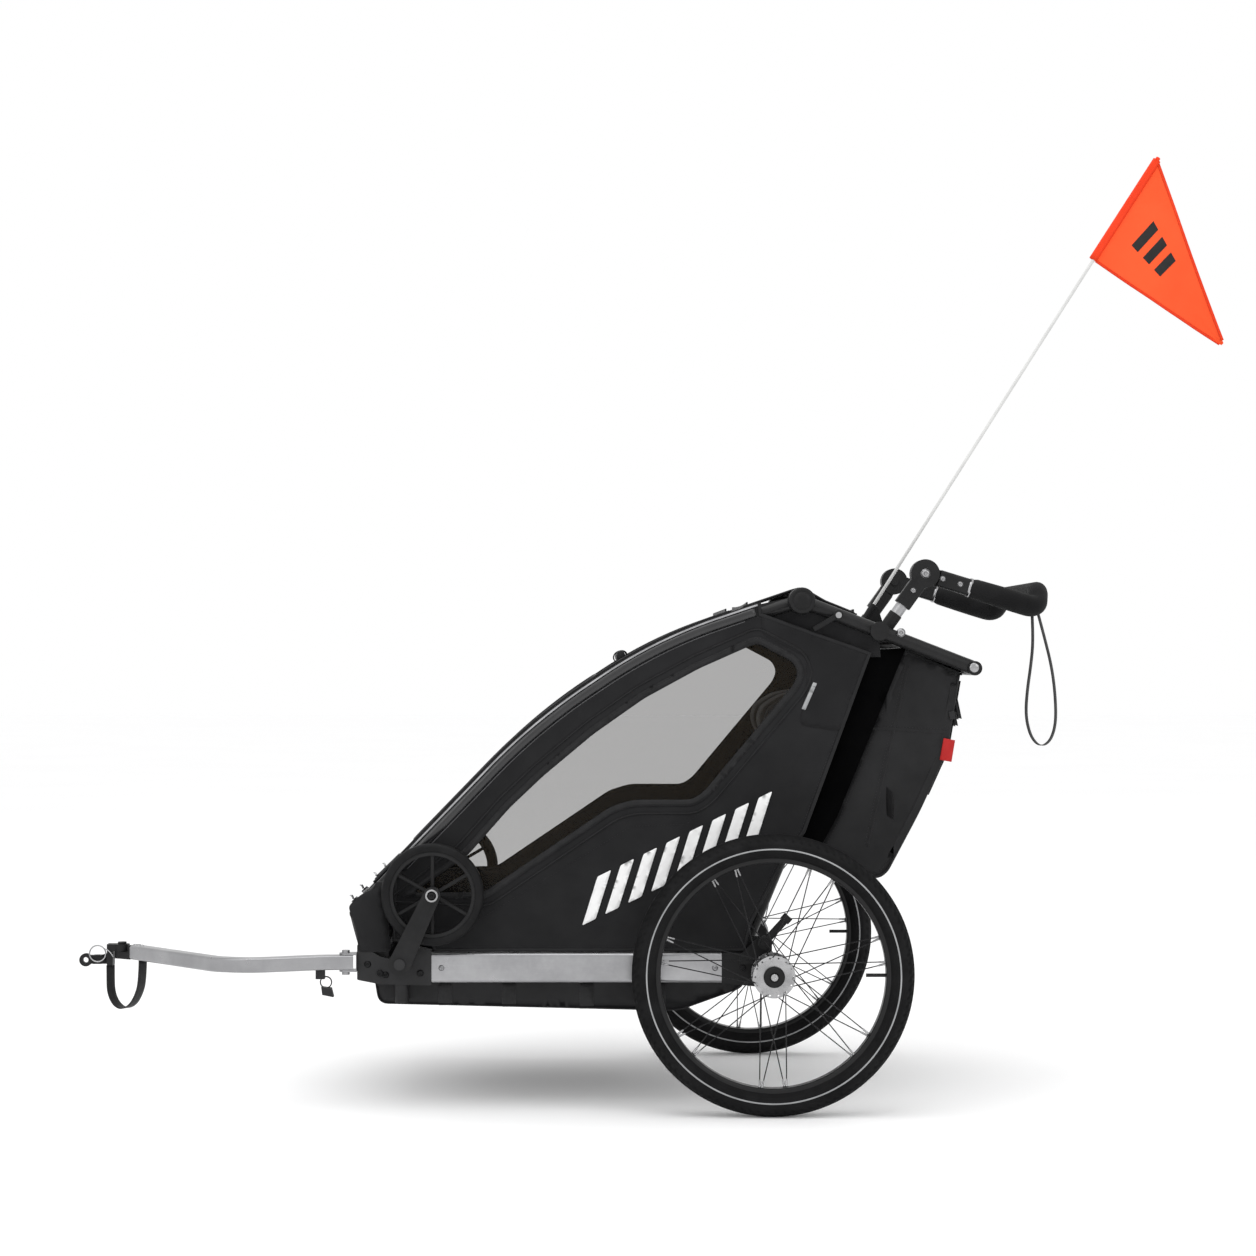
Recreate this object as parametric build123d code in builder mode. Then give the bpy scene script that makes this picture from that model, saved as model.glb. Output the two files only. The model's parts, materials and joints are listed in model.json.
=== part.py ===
"""Child bicycle trailer: a folding aluminium frame with a fabric cabin, two spoked
20 inch wheels, two stowed stroller wheels, a tow arm, a push handle and a flag.

Millimetres. +X points forward to the tow hitch, +Y to the left, +Z up. The origin is on the
ground under the middle of the outline, so the wheel axle stands at AXLE_X. Side outlines are
written as (distance forward of the axle, height above the ground).
"""

import os
from math import atan2, cos, degrees, hypot, pi, radians, sin, tan

from build123d import *

os.makedirs("parts", exist_ok=True)

# ---------------------------------------------------------------- driving dimensions
AXLE_X = -213.0  # axle position along X, halfway between hitch tip and flag tip

# wheels
WHEEL_R = 250.0
TYRE_W = 47.0
TRACK = 720.0
RIM_TO_TREAD = 38.0
RIM_OUTER_R = WHEEL_R - RIM_TO_TREAD
RIM_DEPTH = 13.0
RIM_W = 26.0
HUB_FLANGE_R = 37.5
HUB_FLANGE_T = 3.0
HUB_FLANGE_SPACING = 50.0
HUB_CORE_R = 15.0
HUB_INNER_Y = 322.0
HUB_CAP_R = 18.0
HUB_CAP_T = 6.0
AXLE_R = 6.0
RUNNING_FIT = 0.05
SPOKE_R = 1.0
SPOKES_PER_FLANGE = 14
SPOKE_SWEEP = 38.0
SPOKE_LACING = 1.3
SPOKE_SEAT = HUB_FLANGE_T / 2 + SPOKE_R + 0.9
BRAKE_RING_R = 31.0
BRAKE_TEETH = 16
BRAKE_TOOTH = 4.0
BRAKE_RING_T = 5.0

# chassis
RAIL_Z = 255.0
RAIL_H = 54.0
RAIL_W = 25.0
RAIL_WALL = 2.5
RAIL_Y = 284.5
RAIL_REAR = 88.0
RAIL_FRONT = 608.0
HOUSING_R = 31.0
HOUSING_OUTER_Y = 316.0
AXLE_TUBE_R = 14.0
CATCH_INNER_Y = 258.0
BRAKE_Y = 301.0
CONNECTOR_FRONT = 741.0
CONNECTOR_T = 29.0
CROSS_TUBE_R = 11.0
CROSS_TUBE_X = 729.0
TUB_WALL = 3.0
TUB_TOP = 252.0
TUB_REAR = [(165.0, 176.0), (48.0, 218.0)]
TUB_FRONT = (704.0, 189.0)
GAP = 0.3

# roof frame
TUBE_Y = 268.0
TUBE_R = 12.0
TUBE_WALL = 1.5
ROOF_FRONT = (750.0, 371.0)
ROOF_KNEE = (431.0, 701.0)
ROOF_SHOULDER = (208.0, 850.0)
ROOF_REAR = (-56.0, 940.0)
ROOF_SKIN = 3.0
ROOF_HINGE_X = 700.0
HINGE_PIN_R = 5.0
KNOB_R = 24.0
KNOB_AT = (-56.0, 913.0)
TOP_BAR_R = 13.0
TOP_REAR = (-368.0, 792.0)
PIVOT_X = -196.0
PIVOT_R = 8.0
COVER_HALF_W = 252.0
COVER_SPLIT_X = 60.0
TOP_COVER_END = -160.0
HINGE_ROD_R = 2.0
COVER_HINGE_LIFT = 6.0
COVER_JOINT_GAP = 9.0
LID_HINGE_DROP = 9.0
LID_HINGE_X = -349.0

# cabin sides
PANEL_T = 3.0
PANEL_GAP = 1.5
PANEL_Y = TUBE_Y + TUBE_R + PANEL_GAP + PANEL_T / 2
FILM_T = 1.5

# backrest
FOOT_AT = (38.0, 294.0)
PILLAR_Y = 215.0
PILLAR_R = 11.0
BRACE_R = 8.0
FOOT_R = 9.0

# push handle
STEM_Y = 242.0
STEM_R = 11.0
STEM_FOOT = (-213.0, 866.0)
HANDLE_PIVOT = (-282.5, 963.0)
JOINT_R = 26.0
JOINT_HALF_T = 14.0
ARM_END = (-486.0, 900.6)
CROSSBAR_AT = (-494.0, 932.0)
GRIP_R = 18.0

# stroller wheels
SWHEEL_R = 91.5
SWHEEL_W = 24.0
SWHEEL_Y = 313.0
SWHEEL_AT = (605.0, 388.0)
LEG_PIVOT = (662.0, 266.0)
LEG_Y = 333.0
LEG_T = 12.0

# tow arm
ARM_SIZE = 26.0
ARM_Z = 266.0
ARM_ROUTE = [(748.0, 300.0), (810.0, 305.0), (931.0, 350.0), (990.0, 326.0), (1166.0, 144.0)]
ARM_PIVOT = (761.0, 301.0)
HITCH_HOLE_R = 5.1
HITCH_PLATE = 8.0

# flag
POLE_R = 3.0
POLE_Y = 150.0
POLE_FOOT = (-191.0, 894.0)
POLE_TOP = (-724.0, 1731.0)
FLAG_TIP = (-848.0, 1387.0)
FLAG_LOW = (-606.0, 1548.0)
FLAG_T = 3.0


# ---------------------------------------------------------------- helpers
def side_plane(y):
    """Plane at height over the ground and distance forward of the axle, facing -Y."""
    return Plane(origin=(AXLE_X, y, 0), x_dir=(1, 0, 0), z_dir=(0, -1, 0))


def across(x, z, y=0.0):
    """Plane whose normal is +Y, centred on a point of the side view."""
    return Plane(origin=(AXLE_X + x, y, z), x_dir=(1, 0, 0), z_dir=(0, 1, 0))


def save(part, name):
    """Label a finished piece and write it."""
    part.label = name
    export_step(part, f"parts/{name}.step")
    return part


def sides(make, name, *args):
    """Write the left piece and its mirror image, as NAME_left and NAME_right."""
    left = make(*args)
    with BuildPart() as right:
        add(mirror(left, about=Plane.XZ, mode=Mode.PRIVATE))
    save(left, f"{name}_left")
    save(right.part, f"{name}_right")


def both_sides(piece):
    """The left piece and its mirror image as one part of separate solids."""
    with BuildPart() as pair:
        add(piece)
        mirror(about=Plane.XZ)
    return pair.part


def rod(x, z, y0, y1, radius, bore=0.0):
    """Round bar along Y between two Y values."""
    with BuildPart() as bar:
        with BuildSketch(across(x, z, y0)):
            Circle(radius)
            if bore:
                Circle(bore, mode=Mode.SUBTRACT)
        extrude(amount=y1 - y0)
    return bar.part


def plate(points, y0, y1, corner=0.0):
    """Flat plate with a side outline, between two Y values."""
    with BuildPart() as flat:
        with BuildSketch(side_plane(y1)) as outline:
            with BuildLine():
                Polyline(*points, close=True)
            make_face()
            if corner:
                fillet(outline.vertices(), corner)
        extrude(amount=y1 - y0)
    return flat.part


def bar_between(a, b, y, radius, wall=0.0):
    """Round tube between two points of the side view."""
    run = hypot(b[0] - a[0], b[1] - a[1])
    start = Plane(origin=(AXLE_X + a[0], y, a[1]), x_dir=(0, 1, 0),
                  z_dir=(b[0] - a[0], 0, b[1] - a[1]))
    with BuildPart() as tube:
        with BuildSketch(start):
            Circle(radius)
            if wall:
                Circle(radius - wall, mode=Mode.SUBTRACT)
        extrude(amount=run)
    return tube.part


def box_between(a, b, y0, y1, depth):
    """Square block between two points of the side view, with its depth across them."""
    run = hypot(b[0] - a[0], b[1] - a[1])
    start = Plane(origin=(AXLE_X + a[0], (y0 + y1) / 2, a[1]), x_dir=(0, 1, 0),
                  z_dir=(b[0] - a[0], 0, b[1] - a[1]))
    with BuildPart() as block:
        with BuildSketch(start):
            RectangleRounded(y1 - y0, depth, min(y1 - y0, depth) / 5)
        extrude(amount=run)
    return block.part


def towards(a, b, distance):
    """Point at a distance from a on the way to b."""
    run = hypot(b[0] - a[0], b[1] - a[1])
    return (a[0] + (b[0] - a[0]) * distance / run, a[1] + (b[1] - a[1]) * distance / run)


def turn_between(a, b, c):
    """Turn in radians at b of the route a, b, c."""
    return radians((Vector(*b) - Vector(*a)).get_angle(Vector(*c) - Vector(*b)))


def soft_radii(points):
    """Largest even arc radius at each inner point of a route."""
    radii = []
    for a, b, c in zip(points, points[1:], points[2:]):
        shorter = min((Vector(*b) - Vector(*a)).length, (Vector(*c) - Vector(*b)).length)
        radii.append(0.45 * shorter / tan(turn_between(a, b, c) / 2))
    return radii


def swept_tube(points, radii, radius, bore=0.0):
    """Round tube along straight runs joined by tangent arcs, in the part's own frame."""
    with BuildPart() as tube:
        with BuildLine() as route:
            FilletPolyline(*points, radius=radii)
        with BuildSketch(Plane(origin=route.line @ 0, z_dir=route.line % 0)):
            Circle(radius)
            if bore:
                Circle(bore, mode=Mode.SUBTRACT)
        sweep(path=route.line)
    return tube.part


def roof_points(inset):
    """Corners of the roof's side line, moved inwards by an inset."""
    line = [ROOF_FRONT, ROOF_KNEE, ROOF_SHOULDER, ROOF_REAR]
    runs = []
    for a, b in zip(line, line[1:]):
        angle = atan2(b[1] - a[1], b[0] - a[0])
        shift = (-sin(angle) * inset, cos(angle) * inset)
        runs.append((a[0] + shift[0], a[1] + shift[1], angle))
    first, last = runs[0], runs[-1]
    end = hypot(line[3][0] - line[2][0], line[3][1] - line[2][1])
    points = [(first[0], first[1])]
    for one, two in zip(runs, runs[1:]):
        gap_x, gap_z = two[0] - one[0], two[1] - one[1]
        turn = sin(two[2] - one[2])
        along = (gap_x * sin(two[2]) - gap_z * cos(two[2])) / turn
        points.append((one[0] + along * cos(one[2]), one[1] + along * sin(one[2])))
    points.append((last[0] + end * cos(last[2]), last[1] + end * sin(last[2])))
    return points


ROOF_RADII = [1080.0, 880.0]


def roof_height(x, inset):
    """Height of the roof's side line over a distance forward of the axle, arcs ignored."""
    points = roof_points(inset)
    for a, b in zip(points, points[1:]):
        if b[0] <= x <= a[0] or b is points[-1]:
            return a[1] + (b[1] - a[1]) * (x - a[0]) / (b[0] - a[0])
    return points[0][1]


def roof_strip(inset, thickness, x_front, x_rear, half_width):
    """Curved skin that follows the roof's side line between two X values."""
    outer = roof_points(inset)
    inner = roof_points(inset + thickness)
    with BuildPart() as skin:
        with BuildSketch(side_plane(half_width)):
            with BuildLine():
                FilletPolyline(*outer, radius=[r - inset for r in ROOF_RADII])
                FilletPolyline(*inner, radius=[r - inset - thickness for r in ROOF_RADII])
                Line(outer[0], inner[0])
                Line(outer[-1], inner[-1])
            make_face()
            with Locations(((x_front + x_rear) / 2, 0)):
                Rectangle(x_front - x_rear, 4000, mode=Mode.INTERSECT)
        extrude(amount=2 * half_width)
    return skin.part


ROOF_TUBE_INSET = 5.0 + TUBE_R
ROOF_HINGE = (ROOF_HINGE_X, roof_height(ROOF_HINGE_X, ROOF_TUBE_INSET))
BAR_SLOPE = (KNOB_AT[1] - TOP_REAR[1]) / (KNOB_AT[0] - TOP_REAR[0])
PIVOT = (PIVOT_X, KNOB_AT[1] + (PIVOT_X - KNOB_AT[0]) * BAR_SLOPE)
WHEEL_Y = TRACK / 2
AXLE = (0.0, WHEEL_R)


# ---------------------------------------------------------------- wheels
def make_tyre():
    """Round 47 mm tyre that sits on the rim."""
    section = TYRE_W / 2
    with BuildPart() as tyre:
        with BuildSketch(Plane(origin=(AXLE_X, WHEEL_Y, WHEEL_R), x_dir=(0, 1, 0), z_dir=(1, 0, 0))):
            with Locations((0, WHEEL_R - section)):
                Circle(section)
            with Locations((0, RIM_OUTER_R + GAP - section)):
                Rectangle(2 * TYRE_W, 2 * section, mode=Mode.SUBTRACT)
        revolve(axis=Axis((AXLE_X, WHEEL_Y, WHEEL_R), (0, 1, 0)))
    return tyre.part


def make_rim():
    """Box rim with a shallow tyre well and a valve stem at the rear."""
    with BuildPart() as rim:
        with BuildSketch(Plane(origin=(AXLE_X, WHEEL_Y, WHEEL_R), x_dir=(0, 1, 0), z_dir=(1, 0, 0))):
            with Locations((0, RIM_OUTER_R - RIM_DEPTH / 2)):
                RectangleRounded(RIM_W, RIM_DEPTH, 4)
        revolve(axis=Axis((AXLE_X, WHEEL_Y, WHEEL_R), (0, 1, 0)))
        valve = Plane(origin=(AXLE_X - RIM_OUTER_R + 6, WHEEL_Y, WHEEL_R), z_dir=(1, 0, 0))
        with BuildSketch(valve):
            Circle(3.2)
        extrude(amount=42)
    return rim.part


def spoke_end(radius, angle, y):
    """Point on a circle round the axle."""
    return Vector(AXLE_X + radius * cos(angle), y, WHEEL_R + radius * sin(angle))


def make_spokes():
    """Crossed spokes from both hub flanges to the rim."""
    step = 2 * pi / SPOKES_PER_FLANGE
    with BuildPart() as spokes:
        for flange in (-1, 1):
            for n in range(SPOKES_PER_FLANGE):
                lean = 1 if n % 2 else -1
                root_y = WHEEL_Y + flange * (HUB_FLANGE_SPACING + HUB_FLANGE_T) / 2 + lean * SPOKE_SEAT
                tip_y = WHEEL_Y + flange * 5 + lean * SPOKE_LACING
                root_angle = (n + 0.25 * flange) * step
                tip_angle = root_angle + lean * radians(SPOKE_SWEEP)
                root = spoke_end(HUB_FLANGE_R - 4, root_angle, root_y)
                tip = spoke_end(RIM_OUTER_R - RIM_DEPTH - GAP - 0.3, tip_angle, tip_y)
                with BuildSketch(Plane(origin=root, z_dir=tip - root)):
                    Circle(SPOKE_R)
                extrude(amount=(tip - root).length)
    return spokes.part


def make_hub():
    """Hub shell with two drilled flanges, a dust cap and the toothed brake ring."""
    outer_flange = WHEEL_Y + HUB_FLANGE_SPACING / 2
    with BuildPart() as hub:
        add(rod(*AXLE, HUB_INNER_Y, outer_flange + HUB_FLANGE_T, HUB_CORE_R))
        for y in (WHEEL_Y - HUB_FLANGE_SPACING / 2 - HUB_FLANGE_T, outer_flange):
            add(rod(*AXLE, y, y + HUB_FLANGE_T, HUB_FLANGE_R))
        add(rod(*AXLE, outer_flange, outer_flange + HUB_FLANGE_T + HUB_CAP_T, HUB_CAP_R))
        with BuildSketch(across(*AXLE, HUB_INNER_Y)):
            Circle(BRAKE_RING_R)
            with PolarLocations(BRAKE_RING_R + BRAKE_TOOTH / 2 - 1, BRAKE_TEETH):
                Rectangle(BRAKE_TOOTH + 2, 6)
        extrude(amount=BRAKE_RING_T)
        with BuildSketch(across(*AXLE, HUB_INNER_Y - 1)):
            Circle(AXLE_R + RUNNING_FIT)
        extrude(amount=outer_flange - HUB_INNER_Y + 1, mode=Mode.SUBTRACT)
        for y in (WHEEL_Y - HUB_FLANGE_SPACING / 2 - HUB_FLANGE_T - 1, outer_flange - 1):
            with BuildSketch(across(*AXLE, y)):
                with PolarLocations(HUB_FLANGE_R - 4, SPOKES_PER_FLANGE):
                    Circle(1.6)
            extrude(amount=HUB_FLANGE_T + 2, mode=Mode.SUBTRACT)
    return hub.part


# ---------------------------------------------------------------- chassis
def make_side_rail():
    """Hollow rounded side rail."""
    with BuildPart() as rail:
        with BuildSketch(Plane(origin=(AXLE_X + RAIL_REAR, RAIL_Y, RAIL_Z), x_dir=(0, 1, 0), z_dir=(1, 0, 0))):
            RectangleRounded(RAIL_W, RAIL_H, 7)
            RectangleRounded(RAIL_W - 2 * RAIL_WALL, RAIL_H - 2 * RAIL_WALL, 5, mode=Mode.SUBTRACT)
        extrude(amount=RAIL_FRONT - RAIL_REAR)
    return rail.part


def make_front_connector():
    """Casting that joins rail, cross tube, tow arm and roof hinge on one side."""
    inner, outer = RAIL_Y - CONNECTOR_T / 2, RAIL_Y + CONNECTOR_T / 2
    body = [(RAIL_FRONT, 224), (RAIL_FRONT, 286), (636, 292), (672, 268), (700, 276),
            (CONNECTOR_FRONT, 300), (CONNECTOR_FRONT, 234), (700, 226)]
    post = [(686, 262), (716, 262), (716, ROOF_HINGE[1] - 6), (708, ROOF_HINGE[1] + 10),
            (692, ROOF_HINGE[1] + 10), (684, ROOF_HINGE[1] - 6)]
    post_outer = TUBE_Y + TUBE_R + 6
    with BuildPart() as connector:
        add(plate(body, inner, outer, 3))
        add(plate(post, TUBE_Y + TUBE_R + 0.5, post_outer, 3))
        with BuildSketch(Plane(origin=(AXLE_X + LEG_PIVOT[0], RAIL_Y, 192))):
            Circle(12.5)
        extrude(amount=70)
        add(rod(*ROOF_HINGE, TUBE_Y - TUBE_R - 3, post_outer, HINGE_PIN_R))
        add(rod(*ROOF_HINGE, TUBE_Y - TUBE_R - 4, TUBE_Y - TUBE_R - 0.5, 8))
        add(rod(*LEG_PIVOT, outer - 1, LEG_Y + LEG_T / 2 + 1, 7))
        add(rod(*LEG_PIVOT, LEG_Y + LEG_T / 2 + 0.4, LEG_Y + LEG_T / 2 + 4, 10))
    return connector.part


def make_axle_housing():
    """Rounded housing behind the rail, with the stub axle of one wheel and the backrest catch."""
    inner = RAIL_Y - RAIL_W / 2
    with BuildPart() as housing:
        add(rod(*AXLE, inner, HOUSING_OUTER_Y, HOUSING_R))
        arm = [(0, WHEEL_R - HOUSING_R), (RAIL_REAR, RAIL_Z - RAIL_H / 2), (RAIL_REAR, RAIL_Z + RAIL_H / 2),
               (0, WHEEL_R + HOUSING_R)]
        add(plate(arm, inner, RAIL_Y + RAIL_W / 2))
        add(rod(*AXLE, HOUSING_OUTER_Y - 1, HUB_INNER_Y - 1.5, 14))
        x, z = FOOT_AT
        add(plate([(x - 22, z - 40), (x - 1, z - 40), (x - 1, z + 14), (x - 22, z + 14)], CATCH_INNER_Y, inner + 2, 3))
        add(rod(x, z, CATCH_INNER_Y - 1, inner + 3, FOOT_R + GAP), mode=Mode.SUBTRACT)
        add(rod(*AXLE, HOUSING_OUTER_Y - 1, WHEEL_Y + HUB_FLANGE_SPACING / 2 - 1, AXLE_R))
    return housing.part


def make_cross_tubes():
    """Axle tube between the housings and front tube between the connectors."""
    inner = RAIL_Y - RAIL_W / 2
    cross_end = RAIL_Y - CONNECTOR_T / 2
    with BuildPart() as tubes:
        add(rod(*AXLE, -inner, inner, AXLE_TUBE_R, AXLE_TUBE_R - 2))
        add(rod(CROSS_TUBE_X, RAIL_Z + 10, -cross_end, cross_end, CROSS_TUBE_R, CROSS_TUBE_R - 2))
    return tubes.part


def make_floor_tub():
    """Open-topped floor tub hung between the rails."""
    half = RAIL_Y - CONNECTOR_T / 2 - GAP
    outline = [(714, TUB_TOP), TUB_FRONT, *TUB_REAR, (40, TUB_TOP)]
    with BuildPart() as tub:
        add(plate(outline, -half, half))
        edges = tub.edges().filter_by(Axis.Y).group_by(Axis.Z)[0:2]
        fillet([e for group in edges for e in group], 12)
        offset(amount=-TUB_WALL, openings=tub.faces().sort_by(Axis.Z)[-1])
    return tub.part


def tub_floor(x):
    """Height of the tub's inner floor at a distance forward of the axle."""
    a, b = (TUB_FRONT, TUB_REAR[0]) if x > TUB_REAR[0][0] else TUB_REAR
    return b[1] + (a[1] - b[1]) * (x - b[0]) / (a[0] - b[0]) + 1.1 * TUB_WALL


def make_seat_base():
    """Padded seat base that lies in the tub."""
    under = [(x, tub_floor(x) + lift) for x, lift in ((432, GAP), (200, GAP), (142, 1.2), (92, GAP))]
    return plate([(92, 234), (420, 250), (432, 238), *under], -232, 232)


def panel_outline():
    """Side outline of a cabin side panel, as corner points from the rear foot forwards."""
    low = max(RAIL_Z + RAIL_H / 2, WHEEL_R + HOUSING_R) + GAP
    front = 680.0
    return {
        "rear": [(-20, 878), (-182, 820), (-63, 497), (-24, 443), (32, 335), (45, low)],
        "bottom": [(45, low), (604, low), (612, 300), (front, 300)],
        "front": front,
    }


WINDOW = [(650, 386), (513, 386), (285, 540), (245, 552), (140, 552), (118, 566), (-46, 762), (-54, 784),
          (-44, 806), (24, 842), (130, 795), (229, 741), (320, 677), (411, 601), (471, 544), (548, 457)]


def make_side_panel():
    """Fabric side panel between the rail and the roof line, with its window opening."""
    shape = panel_outline()
    top = roof_points(3.0)
    with BuildPart() as panel:
        with BuildSketch(side_plane(PANEL_Y + PANEL_T / 2)):
            with BuildLine():
                FilletPolyline(*top, radius=[r - 3 for r in ROOF_RADII])
                Polyline(top[-1], *shape["rear"], *shape["bottom"][1:], (shape["front"], top[0][1]), top[0])
            make_face()
            with Locations((0, 0)):
                with BuildLine():
                    Polyline((-400, 0), (shape["front"], 0), (shape["front"], 1100), (16, 1100),
                             (16, 891), (-400, 740), close=True)
                make_face(mode=Mode.INTERSECT)
            with BuildLine():
                Polyline(*WINDOW, close=True)
            make_face(mode=Mode.SUBTRACT)
        extrude(amount=PANEL_T)
    return panel.part


def make_window():
    """Clear film in the opening of a side panel."""
    with BuildPart() as film:
        with BuildSketch(side_plane(PANEL_Y + FILM_T / 2)):
            with BuildLine():
                Polyline(*WINDOW, close=True)
            make_face()
            offset(amount=-GAP)
        extrude(amount=FILM_T)
    return film.part


def bolt_head(x, z, y, radius, height):
    """Domed bolt head standing on a face that looks to the left."""
    with BuildPart() as head:
        with BuildSketch(across(x, z, y)):
            Circle(radius)
        extrude(amount=height)
        fillet(head.faces().sort_by(Axis.Y)[-1].edges(), height / 2)
        with BuildSketch(across(x, z, y + height)):
            RegularPolygon(radius / 2, 6)
        extrude(amount=-height / 2, mode=Mode.SUBTRACT)
    return head.part


# ---------------------------------------------------------------- roof frame
def make_roof_tube():
    """Bent front tube of one side, from the nose to the knob joint."""
    profile = roof_points(ROOF_TUBE_INSET)
    knob_gap = KNOB_R + GAP
    route = [(AXLE_X + x, TUBE_Y, z) for x, z in profile[:-1]]
    last = profile[-2]
    end = towards(last, KNOB_AT, hypot(KNOB_AT[0] - last[0], KNOB_AT[1] - last[1]) - 10)
    route.append((AXLE_X + end[0], TUBE_Y, end[1]))
    with BuildPart() as tube:
        add(swept_tube(route, [1000.0, 800.0], TUBE_R, TUBE_R - TUBE_WALL))
        add(rod(*KNOB_AT, TUBE_Y - 20, TUBE_Y + 20, knob_gap), mode=Mode.SUBTRACT)
        add(rod(*ROOF_HINGE, TUBE_Y - 20, TUBE_Y + 20, HINGE_PIN_R + RUNNING_FIT), mode=Mode.SUBTRACT)
    return tube.part


def make_nose_crossbar():
    """Tube across the nose between the two bent tubes."""
    half = TUBE_Y + TUBE_R
    x, z = NOSE_AT
    return rod(x, z, -half, half, CROSS_TUBE_R)


def make_nose_bumper():
    """Padded band over the nose crossbar and down the front."""
    top = roof_points(1.0)[0]
    angle = atan2(ROOF_KNEE[1] - ROOF_FRONT[1], ROOF_KNEE[0] - ROOF_FRONT[0])
    ahead = (-cos(angle), -sin(angle))
    inward = (-sin(angle), cos(angle))

    def corner(along, inset):
        return (top[0] + ahead[0] * along + inward[0] * inset, top[1] + ahead[1] * along + inward[1] * inset)

    outline = [corner(-32, 0), corner(14, 0), corner(19, 5), corner(19, 38), corner(14, 44), corner(-2, 44),
               corner(-8, 36), corner(-8, 4), corner(-32, 4)]
    half = TUBE_Y - TUBE_R - GAP
    with BuildPart() as bumper:
        add(plate(outline, -half, half))
        add(rod(*NOSE_AT, -TUBE_Y, TUBE_Y, CROSS_TUBE_R + GAP), mode=Mode.SUBTRACT)
    return bumper.part


def make_knob_joint():
    """Casting between bent tube and top bar, with the round knob outside it."""
    with BuildPart() as joint:
        add(rod(*KNOB_AT, TUBE_Y - TUBE_R - 2, PANEL_Y + 3, KNOB_R))
        add(rod(*KNOB_AT, PANEL_Y + 3, PANEL_Y + 20, KNOB_R))
        fillet(joint.faces().sort_by(Axis.Y)[-1].edges(), 5)
        with BuildSketch(across(*KNOB_AT, PANEL_Y + 20)):
            Circle(KNOB_R * 0.62)
            Circle(KNOB_R * 0.5, mode=Mode.SUBTRACT)
        extrude(amount=-1.5, mode=Mode.SUBTRACT)
    return joint.part


def make_top_bar():
    """Straight bar from the knob joint to the rear tube, with the backrest pivot boss."""
    with BuildPart() as bar:
        add(bar_between(KNOB_AT, TOP_REAR, TUBE_Y, TOP_BAR_R, 2))
        add(rod(*KNOB_AT, TUBE_Y - 20, TUBE_Y + 20, KNOB_R + GAP), mode=Mode.SUBTRACT)
        add(rod(*TOP_REAR, TUBE_Y - 20, TUBE_Y + 20, TOP_BAR_R + GAP), mode=Mode.SUBTRACT)
        add(rod(*PIVOT, TUBE_Y - 20, TUBE_Y + 20, PIVOT_R + GAP), mode=Mode.SUBTRACT)
    return bar.part


def make_rear_tube():
    """Tube across the back of the top frame with its oval end caps."""
    with BuildPart() as tube:
        add(rod(*TOP_REAR, -TUBE_Y - 16, TUBE_Y + 16, TOP_BAR_R))
        for side in (-1, 1):
            face = across(*TOP_REAR, side * (TUBE_Y + 16))
            with BuildSketch(face):
                Circle(TOP_BAR_R - 2)
            extrude(amount=side * 3)
    return tube.part


def make_top_frame():
    """Both top bars and the rear tube, as separate tubes."""
    with BuildPart() as frame:
        add(both_sides(make_top_bar()))
        add(make_rear_tube())
    return frame.part


def make_top_cross_tube():
    """Tube between the two top bars that carries the flag socket."""
    half = TUBE_Y - TOP_BAR_R - GAP
    x, z = TOP_CROSS_AT
    with BuildPart() as tube:
        add(rod(x, z, -half, half, 8))
        foot = towards(POLE_FOOT, POLE_TOP, -44)
        lip = towards(POLE_FOOT, POLE_TOP, 18)
        add(plate([(x - 5, z), (x + 4, z - 4), (foot[0] + 3, foot[1] + 2), lip, (lip[0] - 8, lip[1] - 8)],
                  POLE_Y - 3, POLE_Y + 3))
        add(bar_between(foot, lip, POLE_Y, POLE_R + 3.5))
        add(bar_between(towards(foot, lip, 3), towards(foot, lip, 80), POLE_Y, POLE_R + RUNNING_FIT),
            mode=Mode.SUBTRACT)
    return tube.part


def make_stem_socket():
    """Socket of a handle stem, with the backrest pivot pin and its outer knob."""
    foot, top = STEM_FOOT, HANDLE_PIVOT
    inner, outer = STEM_Y - 13, TUBE_Y - TOP_BAR_R - GAP
    with BuildPart() as socket:
        add(bar_between(towards(foot, top, -6), towards(foot, top, 30), STEM_Y, 12.4))
        add(rod(*PIVOT, inner, outer, 15))
        add(rod(*PIVOT, PILLAR_Y - PILLAR_R - 4, PANEL_Y + 4, PIVOT_R))
        add(rod(*PIVOT, PILLAR_Y - PILLAR_R - 5, PILLAR_Y - PILLAR_R - 1, PIVOT_R + 4))
        add(rod(*PIVOT, TUBE_Y + TOP_BAR_R + GAP, PANEL_Y + 12, 17))
        add(bar_between(foot, top, STEM_Y, STEM_R), mode=Mode.SUBTRACT)
    return socket.part


def make_stem():
    """Silver tube of the push handle's foot."""
    with BuildPart() as stem:
        add(bar_between(STEM_FOOT, towards(HANDLE_PIVOT, STEM_FOOT, JOINT_R + GAP + 2), STEM_Y, STEM_R, 1.5))
    return stem.part


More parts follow.
